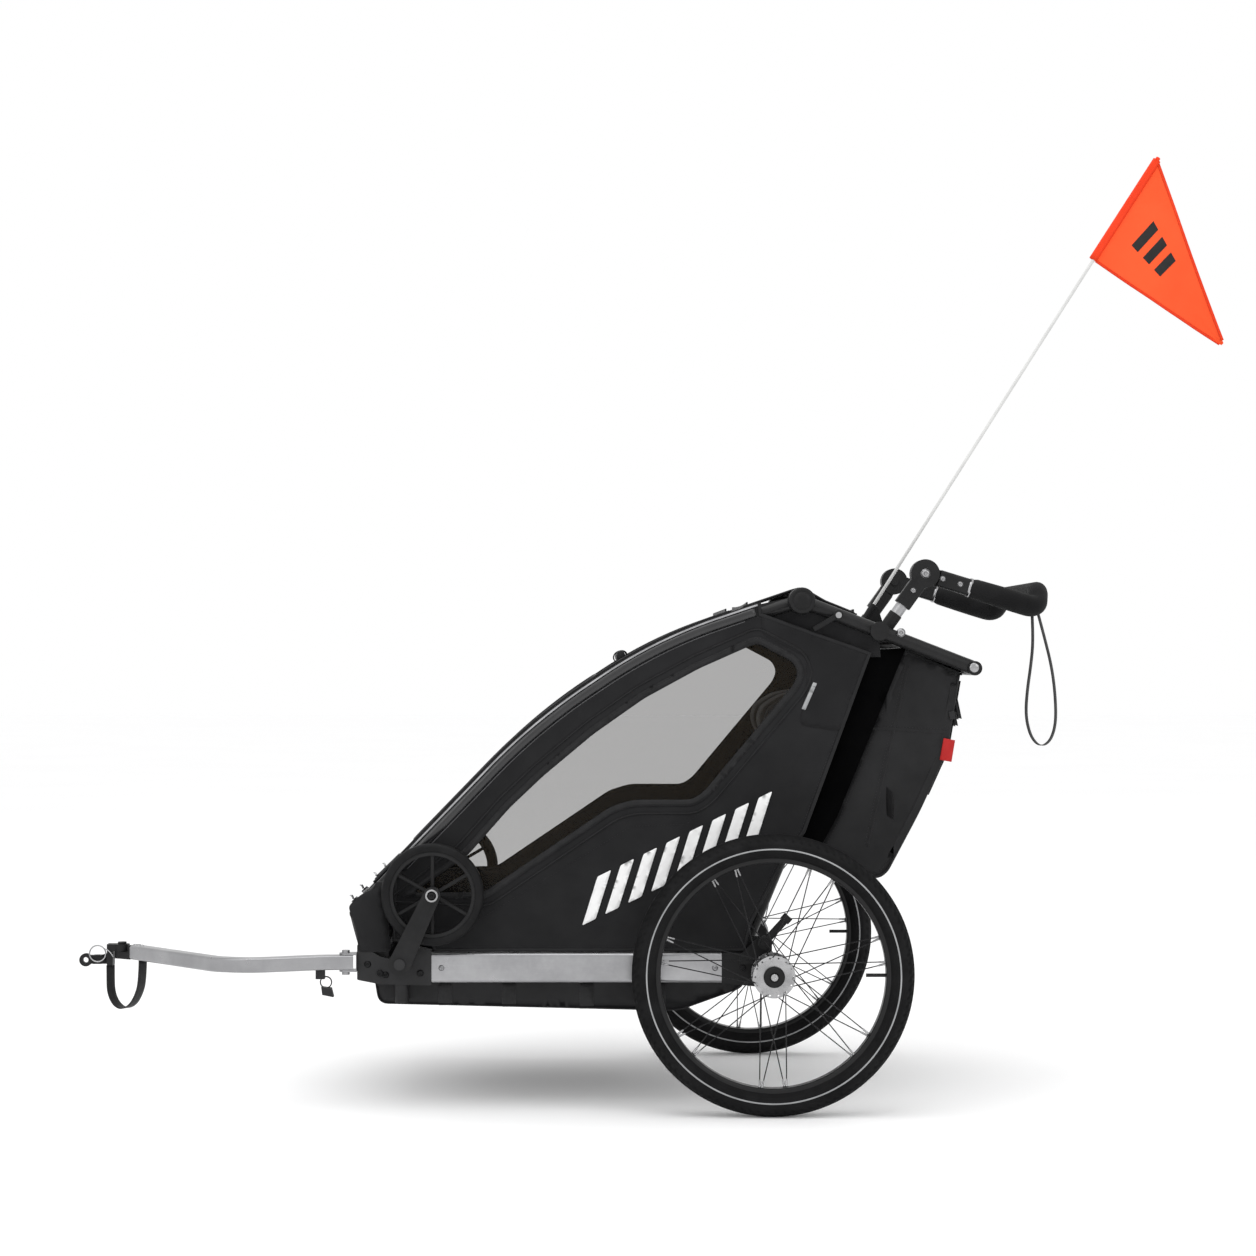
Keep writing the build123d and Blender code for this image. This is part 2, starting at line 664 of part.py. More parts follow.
def make_lower_joint():
    """Lower half of the handle joint: a sleeve on the stem and the outer half disc."""
    inner, outer = STEM_Y - JOINT_HALF_T, STEM_Y + JOINT_HALF_T
    start = towards(HANDLE_PIVOT, STEM_FOOT, JOINT_R + 1)
    end = towards(HANDLE_PIVOT, STEM_FOOT, 70)
    with BuildPart() as joint:
        add(rod(*HANDLE_PIVOT, STEM_Y + GAP / 2, outer, JOINT_R))
        add(box_between(towards(HANDLE_PIVOT, STEM_FOOT, 6), end, STEM_Y + GAP / 2, outer, 30))
        add(box_between(start, end, inner, outer, 30))
        add(rod(*HANDLE_PIVOT, inner - 3, outer, 5))
        add(rod(*HANDLE_PIVOT, inner - 4, inner - GAP, 8))
        add(bar_between(towards(HANDLE_PIVOT, STEM_FOOT, JOINT_R + 1.5), STEM_FOOT, STEM_Y, STEM_R + 0.02),
            mode=Mode.SUBTRACT)
    return joint.part


def make_release_lever():
    """Finger lever under the top bar that frees the roof for folding."""
    pivot = (-122.0, KNOB_AT[1] + (-122.0 - KNOB_AT[0]) * BAR_SLOPE)
    y0, y1 = TUBE_Y + TOP_BAR_R + 4, TUBE_Y + TOP_BAR_R + 11
    tip = (-78.0, 862.0)
    with BuildPart() as lever:
        add(rod(*pivot, y0, y1, 9))
        add(box_between(pivot, tip, y0, y1, 9))
        add(rod(*pivot, y0 - 1, y1 + 1, 3 + RUNNING_FIT), mode=Mode.SUBTRACT)
    return lever.part


def make_lever_pin():
    """Pin on the top bar that carries the release lever."""
    pivot = (-122.0, KNOB_AT[1] + (-122.0 - KNOB_AT[0]) * BAR_SLOPE)
    y = TUBE_Y + TOP_BAR_R
    with BuildPart() as pin:
        add(rod(*pivot, y + GAP, y + 13, 3))
        add(rod(*pivot, y + GAP, y + 3.6, 6))
        add(rod(*pivot, y + 11.4, y + 14, 5.5))
    return pin.part


def make_top_cover():
    """Fabric over the rear of the roof, between the cover hinge and the flag socket."""
    thickness = ROOF_SKIN
    half = TUBE_Y - TUBE_R - 2 - GAP
    with BuildPart() as cover:
        add(roof_strip(1.0, thickness, COVER_SPLIT_X - COVER_JOINT_GAP, -48, half))
        rise = TOP_BAR_R + GAP
        start, end = (-48.0, 0.0), (TOP_COVER_END, 0.0)
        low = [(x, KNOB_AT[1] + (x - KNOB_AT[0]) * BAR_SLOPE + rise) for x, _ in (start, end)]
        bridge_top = roof_height(-48, 1.0)
        bridge = [(-46, bridge_top - thickness), (-46, bridge_top), (-60, low[0][1] + thickness + 6),
                  (end[0], low[1][1] + thickness), low[1], (-66, low[0][1] - 4)]
        add(plate(bridge, -half, half))
    return cover.part


def make_front_cover():
    """Front and roof cover of the cabin, one curved skin on its own hinge rod."""
    x, z = COVER_HINGE
    with BuildPart() as cover:
        add(roof_strip(1.0, ROOF_SKIN, ROOF_COVER_FRONT, COVER_SPLIT_X + 2, COVER_HALF_W))
        leaf = [(x, z), (x + 4, z), (x + 4, roof_height(x + 4, 2.0)), (x, roof_height(x, 2.0))]
        add(plate(leaf, -COVER_HALF_W, COVER_HALF_W))
        add(rod(x, z, -COVER_HALF_W, COVER_HALF_W, 4))
        add(rod(x, z, -COVER_HALF_W - 1, COVER_HALF_W + 1, HINGE_ROD_R + RUNNING_FIT), mode=Mode.SUBTRACT)
    return cover.part


def distance_to_run(point, a, b):
    """Distance of a point of the side view from the run from a to b."""
    run = hypot(b[0] - a[0], b[1] - a[1])
    return abs((b[0] - a[0]) * (point[1] - a[1]) - (b[1] - a[1]) * (point[0] - a[0])) / run


def rod_reach(tube_radius, offset):
    """Half length of a thin rod whose ends stop just short of the frame's side tubes."""
    side = offset - HINGE_ROD_R
    return TUBE_Y - (tube_radius ** 2 - side ** 2) ** 0.5 - GAP


def make_cover_rod():
    """Rod that hinges the front cover between the bent tubes."""
    half = rod_reach(TUBE_R, distance_to_run(COVER_HINGE, TUBE_SHOULDER, KNOB_AT))
    return rod(*COVER_HINGE, -half, half, HINGE_ROD_R)


def make_luggage_bag():
    """Open-topped luggage bag behind the backrest."""
    outline = [(-241, 822.6), (-118, 520), (-82, 452), (-119, 402), (-202, 414), (-214, 424), (-273, 535),
               (-321, 641), (-345, 783)]
    with BuildPart() as bag:
        add(plate(outline, -250, 250))
        offset(amount=-4, openings=bag.faces().sort_by(Axis.Z)[-1])
    return bag.part


def make_bag_lid():
    """Flap over the bag, hinged on the rear tube's front side."""
    x, z = LID_HINGE
    with BuildPart() as lid:
        add(plate([(-240, 823.5), (-240, 827.5), (x, z + 3), (x, z - 3)], -248, 248))
        add(rod(x, z, -248, 248, 4.5))
        add(rod(x, z, -249, 249, HINGE_ROD_R + RUNNING_FIT), mode=Mode.SUBTRACT)
    return lid.part


def make_lid_rod():
    """Rod that hinges the bag lid between the top bars."""
    half = rod_reach(TOP_BAR_R, LID_HINGE_DROP)
    return rod(*LID_HINGE, -half, half, HINGE_ROD_R)


NOSE_AT = roof_points(ROOF_TUBE_INSET)[0]
NOSE_AT = (NOSE_AT[0] + CROSS_TUBE_R * 0.7, NOSE_AT[1] - CROSS_TUBE_R * 0.72)
ROOF_COVER_FRONT = 722.0
TUBE_SHOULDER = roof_points(ROOF_TUBE_INSET)[-2]
TUBE_RISE = (KNOB_AT[1] - TUBE_SHOULDER[1]) / (KNOB_AT[0] - TUBE_SHOULDER[0])
COVER_HINGE = (COVER_SPLIT_X + 2, KNOB_AT[1] + (COVER_SPLIT_X + 2 - KNOB_AT[0]) * TUBE_RISE + COVER_HINGE_LIFT)
TOP_CROSS_AT = (-222.0, 843.0)
LID_HINGE = (LID_HINGE_X, KNOB_AT[1] + (LID_HINGE_X - KNOB_AT[0]) * BAR_SLOPE - LID_HINGE_DROP)


# ---------------------------------------------------------------- backrest
def make_backrest_frame():
    """Two pillars with top eyes, a brace and the foot tube that sits in the catches."""
    eye_r = 13.0
    end = hypot(PIVOT[0] - FOOT_AT[0], PIVOT[1] - FOOT_AT[1])
    with BuildPart() as frame:
        for side in (-1, 1):
            add(bar_between(FOOT_AT, towards(FOOT_AT, PIVOT, end - 6), side * PILLAR_Y, PILLAR_R))
            add(rod(*PIVOT, side * PILLAR_Y - PILLAR_R + 0.2, side * PILLAR_Y + PILLAR_R - 0.2, eye_r))
        add(rod(*FOOT_AT, -268, 268, FOOT_R))
        for distance in (230.0, 470.0):
            add(rod(*towards(FOOT_AT, PIVOT, distance), -PILLAR_Y, PILLAR_Y, BRACE_R))
        add(rod(*PIVOT, -300, 300, PIVOT_R + RUNNING_FIT), mode=Mode.SUBTRACT)
    return frame.part


def on_backrest(along, out):
    """Point of the side view at a distance up the backrest and out in front of it."""
    run = hypot(PIVOT[0] - FOOT_AT[0], PIVOT[1] - FOOT_AT[1])
    up = ((PIVOT[0] - FOOT_AT[0]) / run, (PIVOT[1] - FOOT_AT[1]) / run)
    return (FOOT_AT[0] + up[0] * along + up[1] * out, FOOT_AT[1] + up[1] * along - up[0] * out)


SEAT_FACE = [(26, 34), (60, 46), (300, 66), (350, 96), (376, 134), (404, 142), (440, 128), (490, 60)]


def make_seat_back():
    """Padded seat back with its head rest, in front of the backrest frame."""
    front = [on_backrest(*p) for p in SEAT_FACE]
    rear = [on_backrest(490, BRACE_R + GAP), on_backrest(26, BRACE_R + GAP)]
    return plate(front + rear, -190, 190)


def make_harness():
    """Shoulder, hip and crotch straps of the two seats."""
    with BuildPart() as harness:
        for y in (-95.0, 95.0):
            for shift in (-34.0, 34.0):
                strap = [on_backrest(s, n + GAP) for s, n in SEAT_FACE[1:3]]
                strap += [on_backrest(s, n + 2.3) for s, n in reversed(SEAT_FACE[1:3])]
                add(plate(strap, y + shift - 10, y + shift + 10))
            s, n = 110.0, 46 + 20 * (110.0 - 60) / 240
            belt = [on_backrest(s - 13, n + 1.6), on_backrest(s - 13, n + 4), on_backrest(s + 13, n + 6.2),
                    on_backrest(s + 13, n + 3.8)]
            add(plate(belt, y - 62, y + 62))
    return harness.part


# ---------------------------------------------------------------- push handle
def make_upper_joint():
    """Upper half of the handle joint: the inner half disc and a sleeve on the arm."""
    inner, outer = STEM_Y - JOINT_HALF_T, STEM_Y + JOINT_HALF_T
    end = towards(HANDLE_PIVOT, ARM_END, 84)
    with BuildPart() as joint:
        add(rod(*HANDLE_PIVOT, inner, STEM_Y - GAP / 2, JOINT_R))
        add(box_between(towards(HANDLE_PIVOT, ARM_END, 6), end, inner, STEM_Y - GAP / 2, 30))
        add(box_between(towards(HANDLE_PIVOT, ARM_END, JOINT_R + 1), end, inner, outer, 30))
        add(rod(*HANDLE_PIVOT, inner - 1, outer, 5 + RUNNING_FIT), mode=Mode.SUBTRACT)
        add(bar_between(towards(HANDLE_PIVOT, ARM_END, JOINT_R + 8), ARM_END, STEM_Y, STEM_R), mode=Mode.SUBTRACT)
    return joint.part


def handle_route():
    """Points of the push handle from the left arm over the crossbar to the right arm."""
    left = [(AXLE_X + towards(HANDLE_PIVOT, ARM_END, d)[0], STEM_Y, towards(HANDLE_PIVOT, ARM_END, d)[1])
            for d in (JOINT_R + 8.2,)]
    left.append((AXLE_X + ARM_END[0], STEM_Y, ARM_END[1]))
    left.append((AXLE_X + CROSSBAR_AT[0], STEM_Y - 30, CROSSBAR_AT[1]))
    right = [(x, -y, z) for x, y, z in reversed(left)]
    return left + right


def make_handle_tube():
    """Bent tube of the push handle."""
    route = handle_route()
    return swept_tube(route, [25.0] * (len(route) - 2), STEM_R - 0.3, STEM_R - 2)


def make_handle_grip():
    """Foam grip over both arms and the crossbar."""
    route = handle_route()
    start = towards(HANDLE_PIVOT, ARM_END, 86)
    route[0] = (AXLE_X + start[0], STEM_Y, start[1])
    route[-1] = (route[0][0], -STEM_Y, route[0][2])
    return swept_tube(route, [25.0] * (len(route) - 2), GRIP_R, STEM_R)


WRIST_STRAP = [(-478, 239, 889), (-480, 240, 844), (-476, 240, 800), (-469, 240, 752), (-466, 240, 708),
               (-473, 240, 674), (-485, 239, 655), (-500, 237, 651), (-514, 236, 664), (-522, 235, 694),
               (-521, 235, 738), (-516, 235, 784), (-506, 235, 830), (-490, 235, 889)]
WRIST_STRAP_R = 2.0


# ---------------------------------------------------------------- brake, stroller wheels, flag
BRAKE_PIVOT = (12.0, 302.0)
BRAKE_TIP = (-31.0, 349.0)
BRAKE_PIN_R = 4.0


def make_brake_lever():
    """Foot brake lever on the left axle housing."""
    y0, y1 = BRAKE_Y, BRAKE_Y + 13
    with BuildPart() as lever:
        add(rod(*BRAKE_PIVOT, y0, y1, 12))
        add(box_between(BRAKE_PIVOT, BRAKE_TIP, y0, y1, 13))
        add(box_between(towards(BRAKE_PIVOT, BRAKE_TIP, 52), towards(BRAKE_PIVOT, BRAKE_TIP, 64), y0 - 2, y1 + 3, 17))
        add(rod(*BRAKE_PIVOT, y0 - 1, y1 + 1, BRAKE_PIN_R + RUNNING_FIT), mode=Mode.SUBTRACT)
    return lever.part


def make_brake_pin():
    """Bracket and pin that carry the brake lever on the housing."""
    face = RAIL_Y + RAIL_W / 2 + GAP
    outline = [(32, 262), (56, 262), (56, 278), (30, 304), (12, 314), (-2, 304), (-2, 286)]
    with BuildPart() as pin:
        add(plate(outline, face, face + 3))
        add(rod(*BRAKE_PIVOT, face, BRAKE_Y + 16, BRAKE_PIN_R))
        add(rod(*BRAKE_PIVOT, BRAKE_Y + 13 + GAP, BRAKE_Y + 17, 7))
        add(rod(*AXLE, face - 1, HOUSING_OUTER_Y + 1, HOUSING_R + GAP), mode=Mode.SUBTRACT)
    return pin.part


def make_stroller_leg():
    """Flat tapered leg from its pivot to the stroller wheel."""
    y0, y1 = LEG_Y - LEG_T / 2, LEG_Y + LEG_T / 2
    run = hypot(SWHEEL_AT[0] - LEG_PIVOT[0], SWHEEL_AT[1] - LEG_PIVOT[1])
    wide, narrow = 20.0, 15.0
    along = ((SWHEEL_AT[0] - LEG_PIVOT[0]) / run, (SWHEEL_AT[1] - LEG_PIVOT[1]) / run)
    aside = (-along[1], along[0])

    def edge(base, width):
        return (base[0] + aside[0] * width, base[1] + aside[1] * width)

    outline = [edge(LEG_PIVOT, wide), edge(LEG_PIVOT, -wide), edge(SWHEEL_AT, -narrow), edge(SWHEEL_AT, narrow)]
    with BuildPart() as leg:
        add(plate(outline, y0, y1))
        add(rod(*LEG_PIVOT, y0, y1, wide))
        add(rod(*SWHEEL_AT, y0, y1, narrow))
        add(rod(*SWHEEL_AT, SWHEEL_Y - SWHEEL_W / 2 + 2, y0 + 1, 5))
        add(rod(*LEG_PIVOT, y0 - 1, y1 + 1, 7 + RUNNING_FIT), mode=Mode.SUBTRACT)
        with BuildSketch(across(*SWHEEL_AT, y1)):
            Circle(7)
            Circle(5, mode=Mode.SUBTRACT)
        extrude(amount=-2, mode=Mode.SUBTRACT)
    return leg.part


def make_stroller_tyre():
    """Tyre of a stroller wheel."""
    wall = 18.0
    with BuildPart() as tyre:
        with BuildSketch(Plane(origin=(AXLE_X + SWHEEL_AT[0], SWHEEL_Y, SWHEEL_AT[1]), x_dir=(0, 1, 0), z_dir=(1, 0, 0))):
            with Locations((0, SWHEEL_R - wall / 2)):
                RectangleRounded(SWHEEL_W, wall, 8)
            with Locations((0, SWHEEL_R - wall)):
                Rectangle(2 * SWHEEL_W, 6, mode=Mode.SUBTRACT)
        revolve(axis=Axis((AXLE_X + SWHEEL_AT[0], SWHEEL_Y, SWHEEL_AT[1]), (0, 1, 0)))
    return tyre.part


def make_stroller_wheel():
    """Six-spoke plastic wheel of the stroller wheel set."""
    rim_outer = SWHEEL_R - 18 + 3 - GAP
    y0, y1 = SWHEEL_Y - 9, SWHEEL_Y + 9
    with BuildPart() as wheel:
        add(rod(*SWHEEL_AT, y0, y1, rim_outer, rim_outer - 6))
        add(rod(*SWHEEL_AT, SWHEEL_Y - SWHEEL_W / 2, LEG_Y - LEG_T / 2 - GAP, 13))
        for n in range(6):
            angle = n * pi / 3 + pi / 2
            tip = (SWHEEL_AT[0] + (rim_outer - 4) * cos(angle), SWHEEL_AT[1] + (rim_outer - 4) * sin(angle))
            add(box_between(SWHEEL_AT, tip, SWHEEL_Y - 5, SWHEEL_Y + 5, 6))
        add(rod(*SWHEEL_AT, SWHEEL_Y - 20, LEG_Y, 5 + RUNNING_FIT), mode=Mode.SUBTRACT)
    return wheel.part


def make_tow_arm():
    """Square tow arm that swings about a pin in front of the left connector."""
    with BuildPart() as arm:
        with BuildLine() as route:
            FilletPolyline(*[(AXLE_X + x, y, ARM_Z) for x, y in ARM_ROUTE], radius=[120.0, 110.0, 60.0])
        with BuildSketch(Plane(origin=route.line @ 0, x_dir=(0, 0, 1), z_dir=route.line % 0)):
            RectangleRounded(ARM_SIZE, ARM_SIZE, 4)
            RectangleRounded(ARM_SIZE - 5, ARM_SIZE - 5, 2, mode=Mode.SUBTRACT)
        sweep(path=route.line)
        add(upright(*ARM_PIVOT, ARM_Z - ARM_SIZE, ARM_Z + ARM_SIZE, 4 + RUNNING_FIT), mode=Mode.SUBTRACT)
    return arm.part


def upright(x, y, z0, z1, radius):
    """Round bar along Z between two heights."""
    with BuildPart() as bar:
        with BuildSketch(Plane(origin=(AXLE_X + x, y, z0))):
            Circle(radius)
        extrude(amount=z1 - z0)
    return bar.part


def make_tow_hinge():
    """Two lugs and the upright pin that carry the tow arm on the left connector."""
    x, y = ARM_PIVOT
    half = ARM_SIZE / 2
    with BuildPart() as hinge:
        for z in (ARM_Z - half - GAP - 3.5, ARM_Z + half + GAP):
            with BuildSketch(Plane.XY.offset(z)):
                with Locations((AXLE_X + (CONNECTOR_FRONT + GAP + x) / 2, y - 4)):
                    Rectangle(x - CONNECTOR_FRONT - GAP, 24)
                with Locations((AXLE_X + x, y - 4)):
                    Circle(12)
            extrude(amount=3.5)
        add(upright(x, y, ARM_Z - half - 7, ARM_Z + half + 7, 4))
        for z in (ARM_Z - half - 9, ARM_Z + half + 3.8):
            add(upright(x, y, z, z + 5, 7))
        block = Plane.XY.offset(ARM_Z - half - GAP - 3.5)
        with BuildSketch(block):
            with Locations((AXLE_X + CONNECTOR_FRONT + GAP + 0.5, y - 4)):
                Rectangle(1, 24)
        extrude(amount=ARM_SIZE + 2 * GAP + 7)
    return hinge.part


HITCH_YAW = (1194.0, 126.0)
HITCH_PITCH = (1233.0, 250.0)
HITCH_Y = 122.0


def make_hitch_socket():
    """Plug in the arm's end with the lower half of the swivel."""
    x, y = HITCH_YAW
    end = ARM_ROUTE[-1]
    with BuildPart() as socket:
        with BuildSketch(Plane.XY.offset(ARM_Z - 13)):
            with BuildLine():
                Polyline((AXLE_X + end[0] - 8.4, end[1] - 9.6), (AXLE_X + end[0] + 9.8, end[1] + 9.2),
                         (AXLE_X + x + 9, y + 10), (AXLE_X + x - 9, y - 10), close=True)
            make_face()
            with Locations((AXLE_X + x, y)):
                Circle(14)
        extrude(amount=13 - GAP / 2)
        with BuildSketch(Plane.XY.offset(ARM_Z - 1)):
            with BuildLine():
                Polyline((AXLE_X + end[0] - 8.4, end[1] - 9.6), (AXLE_X + end[0] + 9.8, end[1] + 9.2),
                         (AXLE_X + end[0] + 13.6, end[1] + 5.2), (AXLE_X + end[0] - 4.6, end[1] - 13.6), close=True)
            make_face()
        extrude(amount=14)
        add(upright(x, y, ARM_Z - 2, ARM_Z + 15, 5))
        add(upright(x, y, ARM_Z + 13 + GAP, ARM_Z + 17, 8))
    return socket.part


def make_hitch_block():
    """Block on the swivel with the tongue of the pitch joint."""
    x, y = HITCH_YAW
    pitch_x, pitch_z = HITCH_PITCH
    with BuildPart() as block:
        with BuildSketch(Plane.XY.offset(ARM_Z + GAP / 2)):
            with Locations((AXLE_X + x, y)):
                Circle(14)
            with Locations((AXLE_X + x + 14, HITCH_Y + 2)):
                Rectangle(26, 22)
        extrude(amount=13 - GAP / 2)
        add(plate([(x + 16, 240), (x + 27, 240), (x + 27, ARM_Z + 13), (x + 16, ARM_Z + 13)], HITCH_Y - 9, HITCH_Y + 13))
        add(plate([(x + 26, 242), (pitch_x, 242), (pitch_x, 258), (x + 26, 262)], HITCH_Y - 5, HITCH_Y + 5))
        add(rod(pitch_x, pitch_z, HITCH_Y - 5, HITCH_Y + 5, 8))
        add(upright(x, y, ARM_Z - 1, ARM_Z + 14, 5 + RUNNING_FIT), mode=Mode.SUBTRACT)
        add(rod(pitch_x, pitch_z, HITCH_Y - 6, HITCH_Y + 6, 4 + RUNNING_FIT), mode=Mode.SUBTRACT)
    return block.part


def make_hitch_bracket():
    """Steel clevis with the eye that goes on the bicycle's rear axle."""
    x, z = HITCH_PITCH
    eye_x, eye_z = 1262.0, 249.0
    inner = HITCH_Y - 5 - GAP
    with BuildPart() as bracket:
        for y0 in (inner - 3, HITCH_Y + 5 + GAP):
            add(rod(x, z, y0, y0 + 3, 8))
            add(plate([(x, z - 8), (x + 14, z - 8), (x + 14, z + 8), (x, z + 8)], y0, y0 + 3))
        add(plate([(x + 11, z - 8), (x + 15, z - 8), (x + 15, z + 8), (x + 11, z + 8)], inner - 3, HITCH_Y + 8 + GAP))
        add(plate([(x + 12, z - 8), (eye_x, z - 8), (eye_x, z + 8), (x + 12, z + 8)],
                  HITCH_Y - HITCH_PLATE / 2, HITCH_Y + HITCH_PLATE / 2))
        add(rod(eye_x, eye_z, HITCH_Y - HITCH_PLATE / 2, HITCH_Y + HITCH_PLATE / 2, 12))
        add(rod(x, z, inner - 4.5, HITCH_Y + 9.8, 4))
        add(rod(x, z, HITCH_Y + 8, HITCH_Y + 10.5, 6.5))
        add(rod(eye_x, eye_z, HITCH_Y - 10, HITCH_Y + 10, HITCH_HOLE_R), mode=Mode.SUBTRACT)
    return bracket.part


def make_arm_tether():
    """Web tab, ring and end block of the arm's tether, hanging under the arm."""
    x, y = 806.0, 305.0
    top = ARM_Z - ARM_SIZE / 2 - GAP
    with BuildPart() as tether:
        with BuildSketch(Plane(origin=(AXLE_X + x, y, top))):
            Rectangle(16, 14)
        extrude(amount=-16)
        with BuildSketch(Plane(origin=(AXLE_X + x - 10, y, top - 22), x_dir=(1, 0, 0), z_dir=(0, -1, 0))):
            Circle(11)
            Circle(9, mode=Mode.SUBTRACT)
        extrude(amount=1.4, both=True)
        add(plate([(x - 24, top - 48), (x - 4, top - 44), (x - 2, top - 30), (x - 20, top - 32)], y - 8, y + 8))
    return tether.part


SAFETY_STRAP = [(1216, 124, 239.5), (1216, 124, 214), (1215, 125, 190), (1206, 128, 169), (1190, 134, 159),
                (1172, 141, 167), (1159, 148, 188), (1151, 157, 214), (1150, 158, 252.6)]
SAFETY_STRAP_R = 3.0


def cord_route(points):
    """A cord's points in the part's own frame."""
    return [(AXLE_X + x, y, z) for x, y, z in points]


def make_flag_pole():
    """Straight fibreglass pole, from inside its socket to the flag's top."""
    return bar_between(towards(POLE_FOOT, POLE_TOP, -41), POLE_TOP, POLE_Y, POLE_R)


def make_flag():
    """Triangular flag with a sleeve along the pole."""
    up = towards(POLE_LOW_EDGE, POLE_TOP, 1)
    top = towards(POLE_TOP, POLE_LOW_EDGE, 4)
    with BuildPart() as flag:
        add(plate([POLE_LOW_EDGE, FLAG_TIP, top], POLE_Y - FLAG_T / 2, POLE_Y + FLAG_T / 2))
        add(bar_between(POLE_LOW_EDGE, top, POLE_Y, POLE_R + 2))
        add(bar_between(towards(POLE_LOW_EDGE, up, -20), POLE_TOP, POLE_Y, POLE_R + 0.02), mode=Mode.SUBTRACT)
    return flag.part


POLE_RUN = hypot(POLE_TOP[0] - POLE_FOOT[0], POLE_TOP[1] - POLE_FOOT[1])
POLE_LOW_EDGE = towards(POLE_TOP, POLE_FOOT, hypot(POLE_TOP[0] - FLAG_LOW[0], POLE_TOP[1] - FLAG_LOW[1]))


def make_chassis_bolts():
    """Bolts of the connectors and housings, as separate solids."""
    face = RAIL_Y + CONNECTOR_T / 2 + GAP
    with BuildPart() as bolts:
        add(bolt_head(700, 246, face, 6, 4))
        add(bolt_head(628, 246, face, 5, 3.5))
        add(bolt_head(50, 255, RAIL_Y + RAIL_W / 2 + GAP, 5, 3.5))
    return both_sides(bolts.part)


def main():
    """Build every piece and write it."""
    sides(make_tyre, "tyre")
    sides(make_rim, "rim")
    sides(make_spokes, "spokes")
    sides(make_hub, "hub")
    save(both_sides(make_side_rail()), "side_rails")
    sides(make_front_connector, "front_connector")
    sides(make_axle_housing, "axle_housing")
    save(make_cross_tubes(), "cross_tubes")
    save(make_floor_tub(), "floor_tub")
    save(make_seat_base(), "seat_base")
    sides(make_side_panel, "side_panel")
    save(both_sides(make_window()), "side_windows")
    save(make_chassis_bolts(), "chassis_bolts")
    save(make_brake_pin(), "brake_bracket")
    save(make_brake_lever(), "brake_lever")

    sides(make_roof_tube, "roof_tube")
    save(make_nose_crossbar(), "nose_crossbar")
    save(make_nose_bumper(), "nose_bumper")
    save(both_sides(make_knob_joint()), "knob_joints")
    save(make_top_frame(), "top_frame")
    save(make_top_cross_tube(), "flag_socket")
    save(both_sides(make_stem_socket()), "stem_sockets")
    save(both_sides(make_stem()), "handle_stems")
    save(both_sides(make_lower_joint()), "lower_handle_joints")
    with BuildPart() as pins:
        add(both_sides(make_lever_pin()))
        add(make_cover_rod())
        add(make_lid_rod())
    save(pins.part, "hinge_pins")
    save(both_sides(make_release_lever()), "release_levers")
    save(make_top_cover(), "top_cover")
    save(make_front_cover(), "front_cover")
    save(make_luggage_bag(), "luggage_bag")
    save(make_bag_lid(), "bag_lid")

    save(make_backrest_frame(), "backrest_frame")
    save(make_seat_back(), "seat_back")
    save(make_harness(), "harness")

    save(both_sides(make_upper_joint()), "upper_handle_joints")
    save(make_handle_tube(), "handle_tube")
    save(make_handle_grip(), "handle_grip")
    route = cord_route(WRIST_STRAP)
    radii = soft_radii(route)
    print("wrist strap radii", [round(r, 1) for r in radii])
    save(swept_tube(route, radii, WRIST_STRAP_R), "wrist_strap")

    sides(make_stroller_leg, "stroller_leg")
    sides(make_stroller_tyre, "stroller_tyre")
    sides(make_stroller_wheel, "stroller_wheel")

    save(make_tow_hinge(), "tow_hinge")
    save(make_tow_arm(), "tow_arm")
    save(make_hitch_socket(), "hitch_socket")
    save(make_hitch_block(), "hitch_block")
    save(make_hitch_bracket(), "hitch_bracket")
    save(make_arm_tether(), "arm_tether")
    route = cord_route(SAFETY_STRAP)
    radii = soft_radii(route)
    print("safety strap radii", [round(r, 1) for r in radii])
    save(swept_tube(route, radii, SAFETY_STRAP_R), "safety_strap")

    save(make_flag_pole(), "flag_pole")
    save(make_flag(), "flag")


main()
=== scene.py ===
"""Looks of the child bicycle trailer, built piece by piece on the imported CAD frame.

Metres, +X forward to the hitch, +Y to the left, +Z up. Side views are written in millimetres
as (distance forward of the wheel axle, height above the ground), and across is the distance
from the middle plane.
"""

from __future__ import annotations

import json
import logging
from collections.abc import Callable, Sequence
from dataclasses import dataclass, field
from enum import Enum, IntEnum
from math import ceil, cos, degrees, dist, exp, hypot, pi, radians, sin, sqrt, tan

import bmesh
import bpy
import numpy as np
from mathutils import Matrix, Vector
from mathutils.geometry import delaunay_2d_cdt
from mathutils.noise import noise

